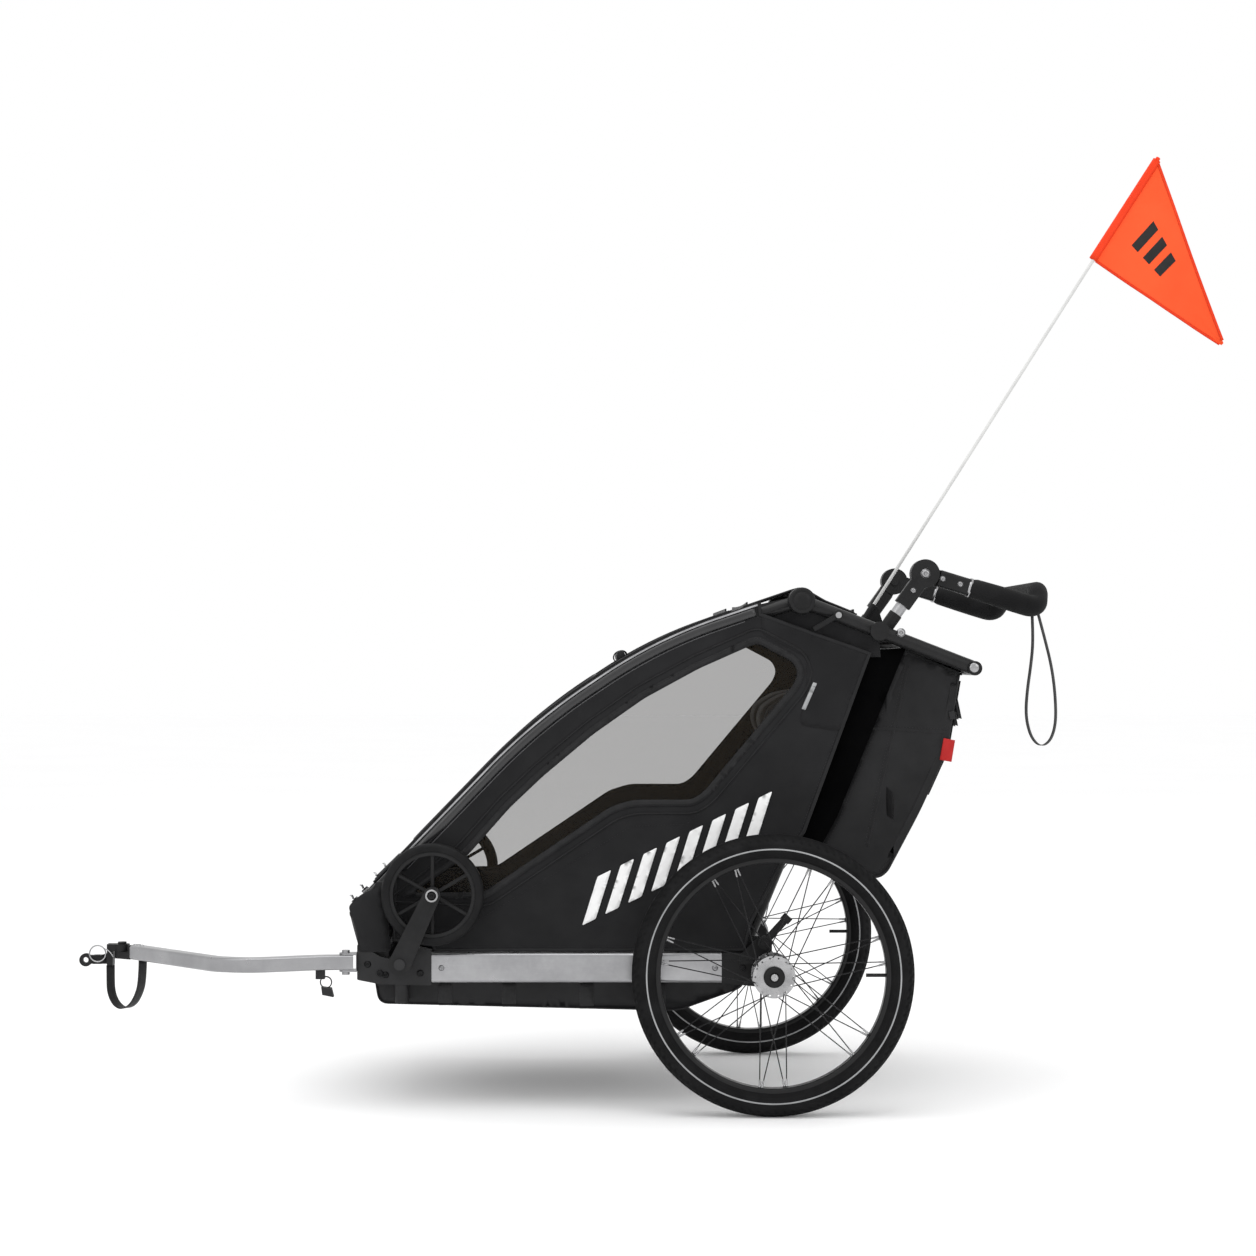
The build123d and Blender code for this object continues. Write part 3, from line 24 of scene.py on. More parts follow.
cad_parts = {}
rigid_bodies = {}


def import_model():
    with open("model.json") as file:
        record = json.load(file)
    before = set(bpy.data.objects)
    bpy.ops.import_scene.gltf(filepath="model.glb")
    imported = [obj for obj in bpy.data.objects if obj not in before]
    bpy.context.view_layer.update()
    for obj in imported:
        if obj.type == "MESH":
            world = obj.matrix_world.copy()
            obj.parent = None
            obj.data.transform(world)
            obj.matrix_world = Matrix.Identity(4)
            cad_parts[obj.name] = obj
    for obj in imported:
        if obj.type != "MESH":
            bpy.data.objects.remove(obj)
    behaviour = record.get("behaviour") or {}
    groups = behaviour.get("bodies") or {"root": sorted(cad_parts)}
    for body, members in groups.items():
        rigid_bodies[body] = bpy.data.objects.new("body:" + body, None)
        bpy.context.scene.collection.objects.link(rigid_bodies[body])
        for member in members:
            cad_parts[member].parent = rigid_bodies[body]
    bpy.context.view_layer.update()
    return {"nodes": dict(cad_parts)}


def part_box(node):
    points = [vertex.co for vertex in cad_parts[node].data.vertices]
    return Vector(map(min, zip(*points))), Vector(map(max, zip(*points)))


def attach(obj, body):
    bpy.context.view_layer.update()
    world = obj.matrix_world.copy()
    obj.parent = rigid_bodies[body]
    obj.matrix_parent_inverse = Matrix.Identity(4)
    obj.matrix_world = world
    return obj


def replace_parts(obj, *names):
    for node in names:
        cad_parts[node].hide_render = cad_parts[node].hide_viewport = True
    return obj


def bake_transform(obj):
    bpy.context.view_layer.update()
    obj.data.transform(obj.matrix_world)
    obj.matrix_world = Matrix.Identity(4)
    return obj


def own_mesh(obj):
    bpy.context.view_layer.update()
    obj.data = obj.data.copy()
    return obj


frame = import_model()

LOG = logging.getLogger("trailer")
MM = 0.001
AHEAD, ACROSS, UP = Vector((1, 0, 0)), Vector((0, 1, 0)), Vector((0, 0, 1))
AXLE = sum(corner.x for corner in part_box("hub_left")) / 2

Pair = tuple[float, float]
Rgb = tuple[float, float, float]
Outline = Sequence[Pair]
Piece = bpy.types.Object
Socket = bpy.types.NodeSocket


class Side(IntEnum):
    """The two sides of the trailer, with the sign of Y."""

    LEFT = 1
    RIGHT = -1

    @property
    def tag(self) -> str:
        """Word that ends a piece's name."""
        return self.name.lower()

    @property
    def out(self) -> Vector:
        """Direction away from the middle plane."""
        return Vector((0, self, 0))


class Grain(Enum):
    """Surface structures that a finish can have."""

    WEAVE = "weave"
    RIB = "rib"
    PEBBLE = "pebble"
    BRUSHED = "brushed"
    FOAM = "foam"
    SATIN = "satin"


def at(xa: float, z: float, y: float) -> Vector:
    """Point of the shared frame from side-view millimetres."""
    return Vector((AXLE + xa * MM, y * MM, z * MM))


# --- finishes
class Recipe:
    """Lays the nodes of one material."""

    def __init__(self, name: str) -> None:
        """Start an empty material.

        Args:
            name: Name of the material.
        """
        self.material = bpy.data.materials.new(name)
        self.material.use_nodes = True
        self.tree = self.material.node_tree
        self.tree.nodes.clear()
        self.shader = self.node("ShaderNodeBsdfPrincipled")
        output = self.node("ShaderNodeOutputMaterial")
        self.tree.links.new(self.shader.outputs[0], output.inputs["Surface"])
        self.place = self.node("ShaderNodeTexCoord").outputs["Object"]

    def node(self, kind: str) -> bpy.types.Node:
        """Add a node of a kind."""
        return self.tree.nodes.new(kind)

    def feed(self, socket: Socket, value: object) -> None:
        """Link a socket to an output, or set its value.

        Args:
            socket: Input to fill.
            value: Output socket, number or colour.
        """
        if isinstance(value, Socket):
            self.tree.links.new(value, socket)
        else:
            socket.default_value = value

    def math(self, kind: str, *values: object) -> Socket:
        """Add a Math node.

        Args:
            kind: Operation.
            values: Inputs in order.

        Returns:
            Its output.
        """
        made = self.node("ShaderNodeMath")
        made.operation = kind
        for socket, value in zip(made.inputs, values):
            self.feed(socket, value)
        return made.outputs[0]

    def noise(self, size_mm: float, detail: float, stretch: Rgb = (1, 1, 1)) -> Socket:
        """Add a noise texture.

        Args:
            size_mm: Size of its spots.
            detail: Finer layers added to it.
            stretch: Length of the spots along each axis.

        Returns:
            Its value, from 0 to 1.
        """
        place = self.node("ShaderNodeMapping")
        self.feed(place.inputs["Vector"], self.place)
        place.inputs["Scale"].default_value = tuple(1 / s for s in stretch)
        made = self.node("ShaderNodeTexNoise")
        self.feed(made.inputs["Vector"], place.outputs[0])
        made.inputs["Scale"].default_value = 1000 / size_mm
        made.inputs["Detail"].default_value = detail
        return made.outputs["Fac"]

    def cells(self, size_mm: float) -> Socket:
        """Distance inside rounded cells of a size, for foam and pebbled plastic."""
        made = self.node("ShaderNodeTexVoronoi")
        self.feed(made.inputs["Vector"], self.place)
        made.inputs["Scale"].default_value = 1000 / size_mm
        return made.outputs["Distance"]

    def wave(self, along: Rgb, size_mm: float) -> Socket:
        """Sine wave along a direction.

        Args:
            along: Direction, which doesn't have to be of length 1.
            size_mm: Wave length.

        Returns:
            Values from -1 to 1.
        """
        dot = self.node("ShaderNodeVectorMath")
        dot.operation = "DOT_PRODUCT"
        self.feed(dot.inputs[0], self.place)
        dot.inputs[1].default_value = along
        return self.math("SINE", self.math("MULTIPLY", dot.outputs["Value"], 2000 * pi / size_mm))

    def mix(self, share: object, first: object, second: object) -> Socket:
        """Mix two colours.

        Args:
            share: Share of the second one.
            first: Colour or output.
            second: Colour or output.

        Returns:
            The mixed colour.
        """
        made = self.node("ShaderNodeMix")
        made.data_type = "RGBA"
        self.feed(made.inputs["Factor"], share)
        self.feed(made.inputs[6], first)
        self.feed(made.inputs[7], second)
        return made.outputs[2]

    def span(self, value: object, low: float, high: float, a: float = 0.0, b: float = 1.0) -> Socket:
        """Map a value from one range to another, held at its ends."""
        made = self.node("ShaderNodeMapRange")
        for socket, number in zip(made.inputs, (value, low, high, a, b)):
            self.feed(socket, number)
        return made.outputs[0]


@dataclass(frozen=True)
class Finish:
    """One finish of the trailer, as numbers of a procedural material.

    Colours are linear. Two shades are mixed by blotches, the grain gives the relief, and wear
    lightens the edges.
    """

    name: str
    slot: str
    dark: Rgb
    light: Rgb
    grain: Grain
    size: float
    relief: float
    rough: Pair = (0.5, 0.7)
    metal: float = 0.0
    specular: float = 0.4
    sheen: float = 0.0
    coat: float = 0.0
    alpha: float = 1.0
    wear: float = 0.15
    blotch: float = 70.0

    def relief_of(self, recipe: Recipe) -> Socket:
        """Height pattern of the grain.

        Args:
            recipe: Material under construction.

        Returns:
            Height from 0 to 1.
        """
        if self.grain is Grain.WEAVE:
            warp = recipe.wave((1, 1, 0), self.size)
            weft = recipe.wave((0, 0.3, 1), self.size)
            cross = recipe.math("MULTIPLY", warp, weft)
            return recipe.math("ADD", recipe.span(cross, -1, 1, 0, 0.8),
                recipe.math("MULTIPLY", recipe.noise(self.size * 5, 4), 0.3))
        if self.grain is Grain.RIB:
            rib = recipe.wave((0.4, 0.4, 1), self.size)
            thread = recipe.wave((1, -1, 0.3), self.size * 0.6)
            return recipe.span(recipe.math("ADD", rib, recipe.math("MULTIPLY", thread, 0.5)), -1.5, 1.5)
        if self.grain is Grain.PEBBLE:
            return recipe.math("ADD", recipe.cells(self.size), recipe.noise(self.size * 3, 5))
        if self.grain is Grain.BRUSHED:
            return recipe.noise(self.size, 6, (60, 1, 1))
        if self.grain is Grain.FOAM:
            return recipe.math("ADD", recipe.cells(self.size), recipe.noise(self.size * 6, 3))
        return recipe.noise(self.size, 4)

    def build(self) -> bpy.types.Material:
        """Make the material.

        Returns:
            The material, with the name of the finish.
        """
        label = f"{self.name}_finish"
        known = bpy.data.materials.get(label)
        if known:
            return known
        recipe = Recipe(label)
        relief = self.relief_of(recipe)
        patch = recipe.span(recipe.noise(self.blotch, 5), 0.35, 0.68)
        fine = recipe.span(relief, 0.1, 1.0, -0.15, 0.25)
        share = recipe.math("ADD", recipe.math("MULTIPLY", patch, 0.75), fine)
        held = recipe.span(share, 0, 1)
        colour = recipe.mix(held, (*self.dark, 1), (*self.light, 1))
        edge = recipe.span(recipe.node("ShaderNodeNewGeometry").outputs["Pointiness"], 0.53, 0.62, 0,
            self.wear)
        worn = tuple(min(1.0, channel * 1.8 + 0.03) for channel in self.light)
        colour = recipe.mix(recipe.math("MULTIPLY", edge, recipe.noise(9, 3)), colour, (*worn, 1))
        shader = recipe.shader.inputs
        recipe.feed(shader["Base Color"], colour)
        recipe.feed(shader["Roughness"], recipe.span(recipe.noise(self.blotch * 0.3, 5), 0.3, 0.7,
            *self.rough))
        shader["Metallic"].default_value = self.metal
        shader["Specular IOR Level"].default_value = self.specular
        shader["Sheen Weight"].default_value = self.sheen
        shader["Sheen Roughness"].default_value = 0.55
        shader["Coat Weight"].default_value = self.coat
        shader["Coat Roughness"].default_value = 0.12
        shader["Alpha"].default_value = self.alpha
        bump = recipe.node("ShaderNodeBump")
        bump.inputs["Strength"].default_value = 0.6
        bump.inputs["Distance"].default_value = self.relief * MM
        recipe.feed(bump.inputs["Height"], relief)
        recipe.feed(shader["Normal"], bump.outputs[0])
        return recipe.material


CABIN_CLOTH = Finish("cabin_cloth", "fabric", (0.0068, 0.0068, 0.0074), (0.013, 0.013, 0.014), Grain.WEAVE,
    1.1, 0.22, (0.62, 0.8), specular=0.16, sheen=0.05, blotch=160)
UPPER_CLOTH = Finish("upper_cloth", "fabric", (0.006, 0.006, 0.0065), (0.012, 0.012, 0.013), Grain.WEAVE,
    1.1, 0.22, (0.55, 0.75), specular=0.14, sheen=0.04, blotch=220)
BAG_CLOTH = Finish("bag_cloth", "fabric", (0.0075, 0.0075, 0.008), (0.016, 0.016, 0.017), Grain.WEAVE, 1.3,
    0.3, (0.5, 0.72), specular=0.16, sheen=0.06, blotch=120)
BINDING_TAPE = Finish("binding_tape", "fabric", (0.004, 0.004, 0.0045), (0.009, 0.009, 0.010), Grain.RIB,
    1.4, 0.25, (0.4, 0.6), specular=0.25, blotch=40)
COATED_CLOTH = Finish("coated_cloth", "fabric", (0.003, 0.003, 0.0035), (0.007, 0.007, 0.008), Grain.WEAVE,
    1.2, 0.15, (0.35, 0.55), specular=0.22, coat=0.06, blotch=90)
GLOSS_VINYL = Finish("gloss_vinyl", "fabric", (0.004, 0.004, 0.005), (0.010, 0.010, 0.011), Grain.PEBBLE,
    1.6, 0.12, (0.22, 0.38), specular=0.5, coat=0.25, blotch=60)
SEAT_CLOTH = Finish("seat_cloth", "padding", (0.012, 0.012, 0.013), (0.030, 0.030, 0.033), Grain.WEAVE, 1.5,
    0.4, (0.75, 0.92), specular=0.18, sheen=0.25, blotch=90)
SEAT_TRIM = Finish("seat_trim", "padding", (0.045, 0.045, 0.048), (0.085, 0.085, 0.090), Grain.WEAVE, 1.5,
    0.4, (0.75, 0.92), specular=0.2, sheen=0.3, blotch=60)
WEBBING = Finish("webbing", "webbing", (0.004, 0.004, 0.0045), (0.014, 0.014, 0.015), Grain.RIB, 1.8, 0.35,
    (0.5, 0.7), specular=0.25, sheen=0.1, blotch=30)
THREAD = Finish("thread", "fabric", (0.012, 0.012, 0.013), (0.03, 0.03, 0.032), Grain.RIB, 0.5, 0.05,
    (0.5, 0.7), specular=0.3, blotch=20)
SILVER_PIPING = Finish("silver_piping", "webbing", (0.20, 0.20, 0.205), (0.42, 0.42, 0.43), Grain.RIB, 1.2,
    0.1, (0.25, 0.4), specular=0.6, coat=0.2, blotch=50)
REFLECTIVE = Finish("reflective_tape", "webbing", (0.22, 0.225, 0.23), (0.34, 0.345, 0.35), Grain.PEBBLE,
    0.7, 0.05, (0.3, 0.45), metal=0.3, specular=0.45, blotch=30)
WHITE_PRINT = Finish("white_print", "fabric", (0.74, 0.74, 0.74), (0.86, 0.86, 0.86), Grain.WEAVE, 1.1,
    0.12, (0.45, 0.6), specular=0.3, blotch=60, wear=0.0)
DARK_PRINT = Finish("dark_print", "flag_cloth", (0.006, 0.006, 0.006), (0.014, 0.013, 0.013), Grain.WEAVE,
    0.9, 0.1, (0.5, 0.65), specular=0.3, blotch=40, wear=0.0)
WINDOW_FILM = Finish("window_film", "film", (0.020, 0.016, 0.011), (0.023, 0.018, 0.012), Grain.SATIN,
    160.0, 0.04, (0.12, 0.16), specular=0.12, alpha=0.37, blotch=400, wear=0.0)
# Dark lining painted near black with almost no specular: painted shade for the recess behind the cabin's
# rear edge.
LINING_WITH_PAINTED_SHADE = Finish("shadow_cloth", "fabric", (0.0006, 0.0006, 0.0007), (0.0016, 0.0016, 0.0017),
    Grain.WEAVE, 1.2, 0.1, (0.85, 0.95), specular=0.03, blotch=90, wear=0.0)
TYRE_RUBBER = Finish("tyre_rubber", "tyre_rubber", (0.0028, 0.0028, 0.003), (0.0085, 0.0085, 0.009),
    Grain.PEBBLE, 1.2, 0.12, (0.6, 0.78), specular=0.12, blotch=45, wear=0.2)
SOFT_RUBBER = Finish("soft_rubber", "soft_rubber", (0.0035, 0.0035, 0.0038), (0.009, 0.009, 0.0095),
    Grain.PEBBLE, 1.0, 0.1, (0.5, 0.7), specular=0.15, blotch=40)
GRIP_FOAM = Finish("grip_foam", "foam", (0.005, 0.005, 0.0053), (0.011, 0.011, 0.0115), Grain.FOAM, 1.4,
    0.35, (0.78, 0.92), specular=0.1, sheen=0.04, blotch=60)
RIM_BLACK = Finish("rim_black", "rim_black", (0.003, 0.003, 0.0033), (0.007, 0.007, 0.0075), Grain.PEBBLE,
    0.8, 0.03, (0.28, 0.4), specular=0.28, blotch=50, wear=0.2)
BLACK_PLASTIC = Finish("black_plastic", "black_plastic", (0.0038, 0.0038, 0.004), (0.0095, 0.0095, 0.010),
    Grain.PEBBLE, 0.9, 0.08, (0.38, 0.55), specular=0.2, blotch=55, wear=0.18)
GREY_PLASTIC = Finish("grey_plastic", "grey_plastic", (0.009, 0.009, 0.0095), (0.019, 0.019, 0.020),
    Grain.PEBBLE, 1.0, 0.1, (0.42, 0.6), specular=0.25, blotch=60, wear=0.2)
ALUMINIUM = Finish("aluminium", "aluminium", (0.27, 0.27, 0.278), (0.38, 0.38, 0.388), Grain.BRUSHED, 0.9,
    0.03, (0.26, 0.4), metal=0.95, specular=0.5, blotch=90, wear=0.15)
BLACK_TUBE = Finish("black_tube", "aluminium", (0.004, 0.004, 0.0043), (0.008, 0.008, 0.0085), Grain.PEBBLE,
    0.6, 0.04, (0.3, 0.42), specular=0.25, blotch=60, wear=0.15)
STEEL = Finish("steel", "steel", (0.27, 0.27, 0.275), (0.42, 0.42, 0.425), Grain.SATIN, 3.0, 0.02,
    (0.2, 0.34), metal=0.95, specular=0.5, blotch=25, wear=0.2)
DARK_STEEL = Finish("dark_steel", "steel", (0.007, 0.007, 0.0075), (0.018, 0.018, 0.019), Grain.SATIN, 3.0,
    0.02, (0.28, 0.4), metal=0.6, specular=0.3, blotch=25, wear=0.2)
POLE_WHITE = Finish("pole_white", "pole", (0.50, 0.50, 0.495), (0.62, 0.62, 0.61), Grain.BRUSHED, 0.8, 0.03,
    (0.25, 0.4), specular=0.5, coat=0.2, blotch=80, wear=0.0)
FLAG_CLOTH = Finish("flag_cloth", "flag_cloth", (0.82, 0.078, 0.020), (0.90, 0.10, 0.028), Grain.WEAVE, 0.8,
    0.12, (0.5, 0.65), specular=0.12, blotch=120, wear=0.0)
FLAG_SLEEVE = Finish("flag_sleeve", "flag_cloth", (0.70, 0.040, 0.010), (0.78, 0.055, 0.015), Grain.WEAVE,
    0.8, 0.12, (0.5, 0.65), specular=0.12, blotch=70, wear=0.0)
RED_TAG = Finish("red_tag", "webbing", (0.36, 0.008, 0.008), (0.50, 0.018, 0.016), Grain.WEAVE, 0.9, 0.15,
    (0.55, 0.7), specular=0.3, blotch=20, wear=0.0)
BUCKLE_RED = Finish("buckle_red", "black_plastic", (0.36, 0.012, 0.010), (0.48, 0.02, 0.018), Grain.PEBBLE,
    0.8, 0.06, (0.35, 0.5), specular=0.45, blotch=20)


def dress(piece: Piece, finish: Finish) -> Piece:
    """Give a piece one finish."""
    piece.data.materials.clear()
    piece.data.materials.append(finish.build())
    return piece


def mount(piece: Piece, finish: Finish, body: str) -> None:
    """Give a piece its finish and let it ride on a body."""
    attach(dress(piece, finish), body)


def repaint(finish: Finish, *nodes: str) -> None:
    """Put a finish on CAD nodes that keep their shape."""
    for name in nodes:
        node = frame["nodes"][name]
        for slot in node.material_slots:
            slot.material = finish.build()


# --- lines and sections
def resample(points: Outline, step: float, closed: bool = False) -> list[Pair]:
    """Cut long runs of a line into equal short ones.

    Args:
        points: Corners of the line.
        step: Longest run allowed.
        closed: Whether the last corner joins the first.

    Returns:
        The corners with points between them.
    """
    made: list[Pair] = []
    ends = list(points[1:]) + ([points[0]] if closed else [])
    for a, b in zip(points, ends):
        count = max(1, ceil(dist(a, b) / step))
        made += [(a[0] + (b[0] - a[0]) * i / count, a[1] + (b[1] - a[1]) * i / count) for i in range(count)]
    return made if closed else made + [tuple(points[-1])]


def soften(points: Outline, radius: float, closed: bool = False, steps: int = 5) -> list[Pair]:
    """Round a line's corners.

    Args:
        points: Corners of the line.
        radius: Length cut from each run at a corner.
        closed: Whether the line is a ring.
        steps: Points on each rounded corner.

    Returns:
        The rounded line.
    """
    count, made = len(points), []
    for i, corner in enumerate(points):
        if not closed and i in (0, count - 1):
            made.append(tuple(corner))
            continue
        before, after = points[i - 1], points[(i + 1) % count]
        cut = min(radius, 0.45 * dist(before, corner), 0.45 * dist(after, corner))
        a = Vector(corner).lerp(Vector(before), cut / dist(before, corner))
        b = Vector(corner).lerp(Vector(after), cut / dist(after, corner))
        for k in range(steps + 1):
            t = k / steps
            p = a * (1 - t) ** 2 + Vector(corner) * 2 * t * (1 - t) + b * t * t
            made.append((p.x, p.y))
    return made


def grow(ring: Outline, distance: float) -> list[Pair]:
    """Move a ring outwards.

    Args:
        ring: Closed outline.
        distance: How far, negative for inwards.

    Returns:
        The moved outline.
    """
    flat = np.array(ring, float)
    after = np.roll(flat, -1, 0)
    turn = np.sign(np.sum(flat[:, 0] * after[:, 1] - after[:, 0] * flat[:, 1]))
    run = after - flat
    run /= np.maximum(np.linalg.norm(run, axis=1), 1e-9)[:, None]
    out = np.stack([run[:, 1], -run[:, 0]], 1) * turn
    both = out + np.roll(out, 1, 0)
    both /= np.maximum(np.linalg.norm(both, axis=1), 1e-9)[:, None]
    reach = distance / np.clip(np.sum(both * out, 1), 0.5, 1)
    return [tuple(p) for p in flat + both * reach[:, None]]


def inside(points: np.ndarray, ring: Outline) -> np.ndarray:
    """Which points lie inside a closed ring."""
    x, y = points[:, 0], points[:, 1]
    hit = np.zeros(len(points), bool)
    for (ax, ay), (bx, by) in zip(ring, list(ring[1:]) + [ring[0]]):
        if ay == by:
            continue
        cross = (ay > y) != (by > y)
        hit ^= cross & (x < (bx - ax) * (y - ay) / (by - ay) + ax)
    return hit


def far_from(points: np.ndarray, ring: np.ndarray) -> np.ndarray:
    """Distance from each point to the nearest point of a ring."""
    found = np.full(len(points), 1e9)
    for start in range(0, len(ring), 64):
        part = ring[start:start + 64]
        gap = np.linalg.norm(points[:, None, :] - part[None], axis=2).min(1)
        found = np.minimum(found, gap)
    return found


def fill(ring: Outline, holes: Sequence[Outline], step: float) -> tuple[np.ndarray, list[list[int]]]:
    """Fill an outline with even triangles.

    Args:
        ring: Outer outline.
        holes: Inner outlines.
        step: Size of the triangles.

    Returns:
        Points and triangles.
    """
    rings = [resample(r, step, True) for r in (ring, *holes)]
    edges, corners = [], []
    for r in rings:
        first = len(corners)
        corners += r
        edges += [(first + i, first + (i + 1) % len(r)) for i in range(len(r))]
    flat = np.array(corners, float)
    low, high = flat.min(0), flat.max(0)
    rows = np.arange(low[1] + step / 2, high[1], step * 0.87)
    grid = np.array([(x + (k % 2) * step / 2, y) for k, y in enumerate(rows) for x in np.arange(low[0],
        high[0], step)]).reshape(-1, 2)
    keep = inside(grid, rings[0])
    for r in rings[1:]:
        keep &= ~inside(grid, r)
    grid = grid[keep]
    grid = grid[far_from(grid, flat) > step * 0.55]
    every = [Vector(p) for p in np.concatenate([flat, grid])]
    points, _, faces, *_ = delaunay_2d_cdt(every, edges, [], 0, 1e-5)
    made = np.array([(p.x, p.y) for p in points])
    middle = made[np.array(faces)].mean(1)
    keep = inside(middle, rings[0])
    for r in rings[1:]:
        keep &= ~inside(middle, r)
    return made, [list(f) for f, k in zip(faces, keep) if k]


def gone_along(dots: np.ndarray) -> np.ndarray:
    """Distance along a line at each of its points."""
    return np.concatenate([[0], np.cumsum(np.linalg.norm(np.diff(dots, axis=0), axis=1))])


def circle(radius: float, count: int) -> list[Pair]:
    """Round section of a tube."""
    return [(radius * cos(2 * pi * i / count), radius * sin(2 * pi * i / count)) for i in range(count)]


def strap(width: float, thickness: float) -> list[Pair]:
    """Flat section of a strap with rounded edges."""
    w, t = width / 2, thickness / 2
    return [(w, 0), (w - t * 0.6, t), (w * 0.35, t), (-w * 0.35, t), (-w + t * 0.6, t), (-w, 0),
        (-w + t * 0.6, -t), (-w * 0.35, -t), (w * 0.35, -t), (w - t * 0.6, -t)]


# --- meshes
def place(name: str, data: bpy.types.ID) -> Piece:
    """Put an object with its data in the scene."""
    made = bpy.data.objects.new(name, data)
    bpy.context.scene.collection.objects.link(made)
    return made


def solid(name: str, points: Sequence[Vector], faces: Sequence[Sequence[int]]) -> Piece:
    """Make a mesh object.

    Args:
        name: Name of the piece.
        points: Its vertices, in metres.
        faces: Its polygons.

    Returns:
        The new object.
    """
    mesh = bpy.data.meshes.new(name)
    mesh.from_pydata([tuple(p) for p in points], [], [tuple(f) for f in faces])
    mesh.validate()
    mesh.polygons.foreach_set("use_smooth", [True] * len(mesh.polygons))
    made = place(name, mesh)
    tidy = bmesh.new()
    tidy.from_mesh(mesh)
    bmesh.ops.remove_doubles(tidy, verts=tidy.verts, dist=1e-6)
    bmesh.ops.recalc_face_normals(tidy, faces=tidy.faces)
    tidy.to_mesh(mesh)
    tidy.free()
    return made


def grid(rows: int, columns: int) -> list[list[int]]:
    """Four-sided faces between rows of points."""
    wide = columns + 1
    return [[i * wide + k, i * wide + k + 1, (i + 1) * wide + k + 1,
        (i + 1) * wide + k] for i in range(rows) for k in range(columns)]


def settle(piece: Piece) -> Piece:
    """Turn a piece's modifiers into its mesh."""
    bpy.context.view_layer.update()
    seen = piece.evaluated_get(bpy.context.evaluated_depsgraph_get())
    mesh = bpy.data.meshes.new_from_object(seen)
    piece.modifiers.clear()
    piece.data = mesh
    return piece


def thicken(piece: Piece, millimetres: float) -> Piece:
    """Give a sheet its thickness, half on each side."""
    wall = piece.modifiers.new("wall", "SOLIDIFY")
    wall.thickness = millimetres * MM
    wall.offset = 0
    return settle(piece)


def join(name: str, pieces: Sequence[Piece]) -> Piece:
    """Join pieces of one finish into one object.

    Args:
        name: Name of the joined piece.
        pieces: What it is made of.

    Returns:
        The joined object.
    """
    points, faces, smooth = [], [], []
    for piece in pieces:
        first = len(points)
        points += [piece.matrix_world @ v.co for v in piece.data.vertices]
        faces += [[first + i for i in p.vertices] for p in piece.data.polygons]
        smooth += [p.use_smooth for p in piece.data.polygons]
        bpy.data.objects.remove(piece)
    mesh = bpy.data.meshes.new(name)
    mesh.from_pydata([tuple(p) for p in points], [], faces)
    mesh.polygons.foreach_set("use_smooth", smooth)
    made = place(name, mesh)
    return made


def sweep(name: str, line: Sequence[Vector], section: Outline, across: Vector | None = None,
        closed: bool = False, scale: Callable[[float], Pair] | None = None) -> Piece:
    """Carry a section along a line.

    Args:
        name: Name of the piece.
        line: Points of its middle, in metres.
        section: Outline in millimetres.
        across: Direction of the section's first axis, or None to let it follow the line.
        closed: Whether the line is a ring.
        scale: Width and height factors at a share of the length.

    Returns:
        The swept piece, with closed ends.
    """
    count, wide = len(line), len(section)
    runs = [(line[(i + 1) % count] - line[i - 1]) if closed or 0 < i < count - 1 else
        (line[1] - line[0] if i == 0 else line[-1] - line[-2]) for i in range(count)]
    runs = [r.normalized() for r in runs]
    first = across or (UP if abs(runs[0].z) < 0.9 else AHEAD)
    points, faces = [], []
    for i, (middle, run) in enumerate(zip(line, runs)):
        if across is None and i:
            first = runs[i - 1].rotation_difference(run) @ first
        a = (first - run * first.dot(run)).normalized()
        b = run.cross(a)
        grow_a, grow_b = scale(i / max(1, count - 1)) if scale else (1, 1)
        points += [middle + (a * (u * grow_a) + b * (v * grow_b)) * MM for u, v in section]
    for i in range(count if closed else count - 1):
        n = (i + 1) % count
        faces += [[i * wide + k, i * wide + (k + 1) % wide, n * wide + (k + 1) % wide,
            n * wide + k] for k in range(wide)]
    if not closed:
        faces += [list(range(wide))[::-1], list(range((count - 1) * wide, count * wide))]
    return solid(name, points, faces)


def turned(name: str, middle: Vector, axis: Vector, profile: Outline, count: int = 32) -> Piece:
    """Turn a profile round an axis.

    Args:
        name: Name of the piece.
        middle: Origin of the profile.
        axis: Direction of its second number.
        profile: Radius and distance along the axis, in millimetres.
        count: Steps round.

    Returns:
        The turned piece.
    """
    axis = axis.normalized()
    u = axis.orthogonal().normalized()
    v = axis.cross(u)
    points, faces, wide = [], [], len(profile)
    for i in range(count):
        angle = 2 * pi * i / count
        out = u * cos(angle) + v * sin(angle)
        points += [middle + (out * r + axis * h) * MM for r, h in profile]
        n = (i + 1) % count
        faces += [[i * wide + k, n * wide + k, n * wide + k + 1, i * wide + k + 1] for k in range(wide - 1)]
    return solid(name, points, faces)


def screw(name: str, middle: Vector, axis: Vector, radius: float, height: float) -> Piece:
    """Domed screw head with a hexagon recess.

    Args:
        name: Name of the piece.
        middle: Middle of the seat it sits on.
        axis: Direction it points in.
        radius: Its radius in millimetres.
        height: How far it stands proud.

    Returns:
        The head with its washer.
    """
    r, h = radius, height
    hole = 0.45 * r
    return turned(name, middle, axis, [(r * 1.25, -0.4), (r * 1.25, 0.2), (r, 0.35), (r, h * 0.45),
        (r * 0.85, h * 0.85), (hole * 1.25, h), (hole, h * 0.97), (hole, h * 0.35), (0, h * 0.3)], 24)


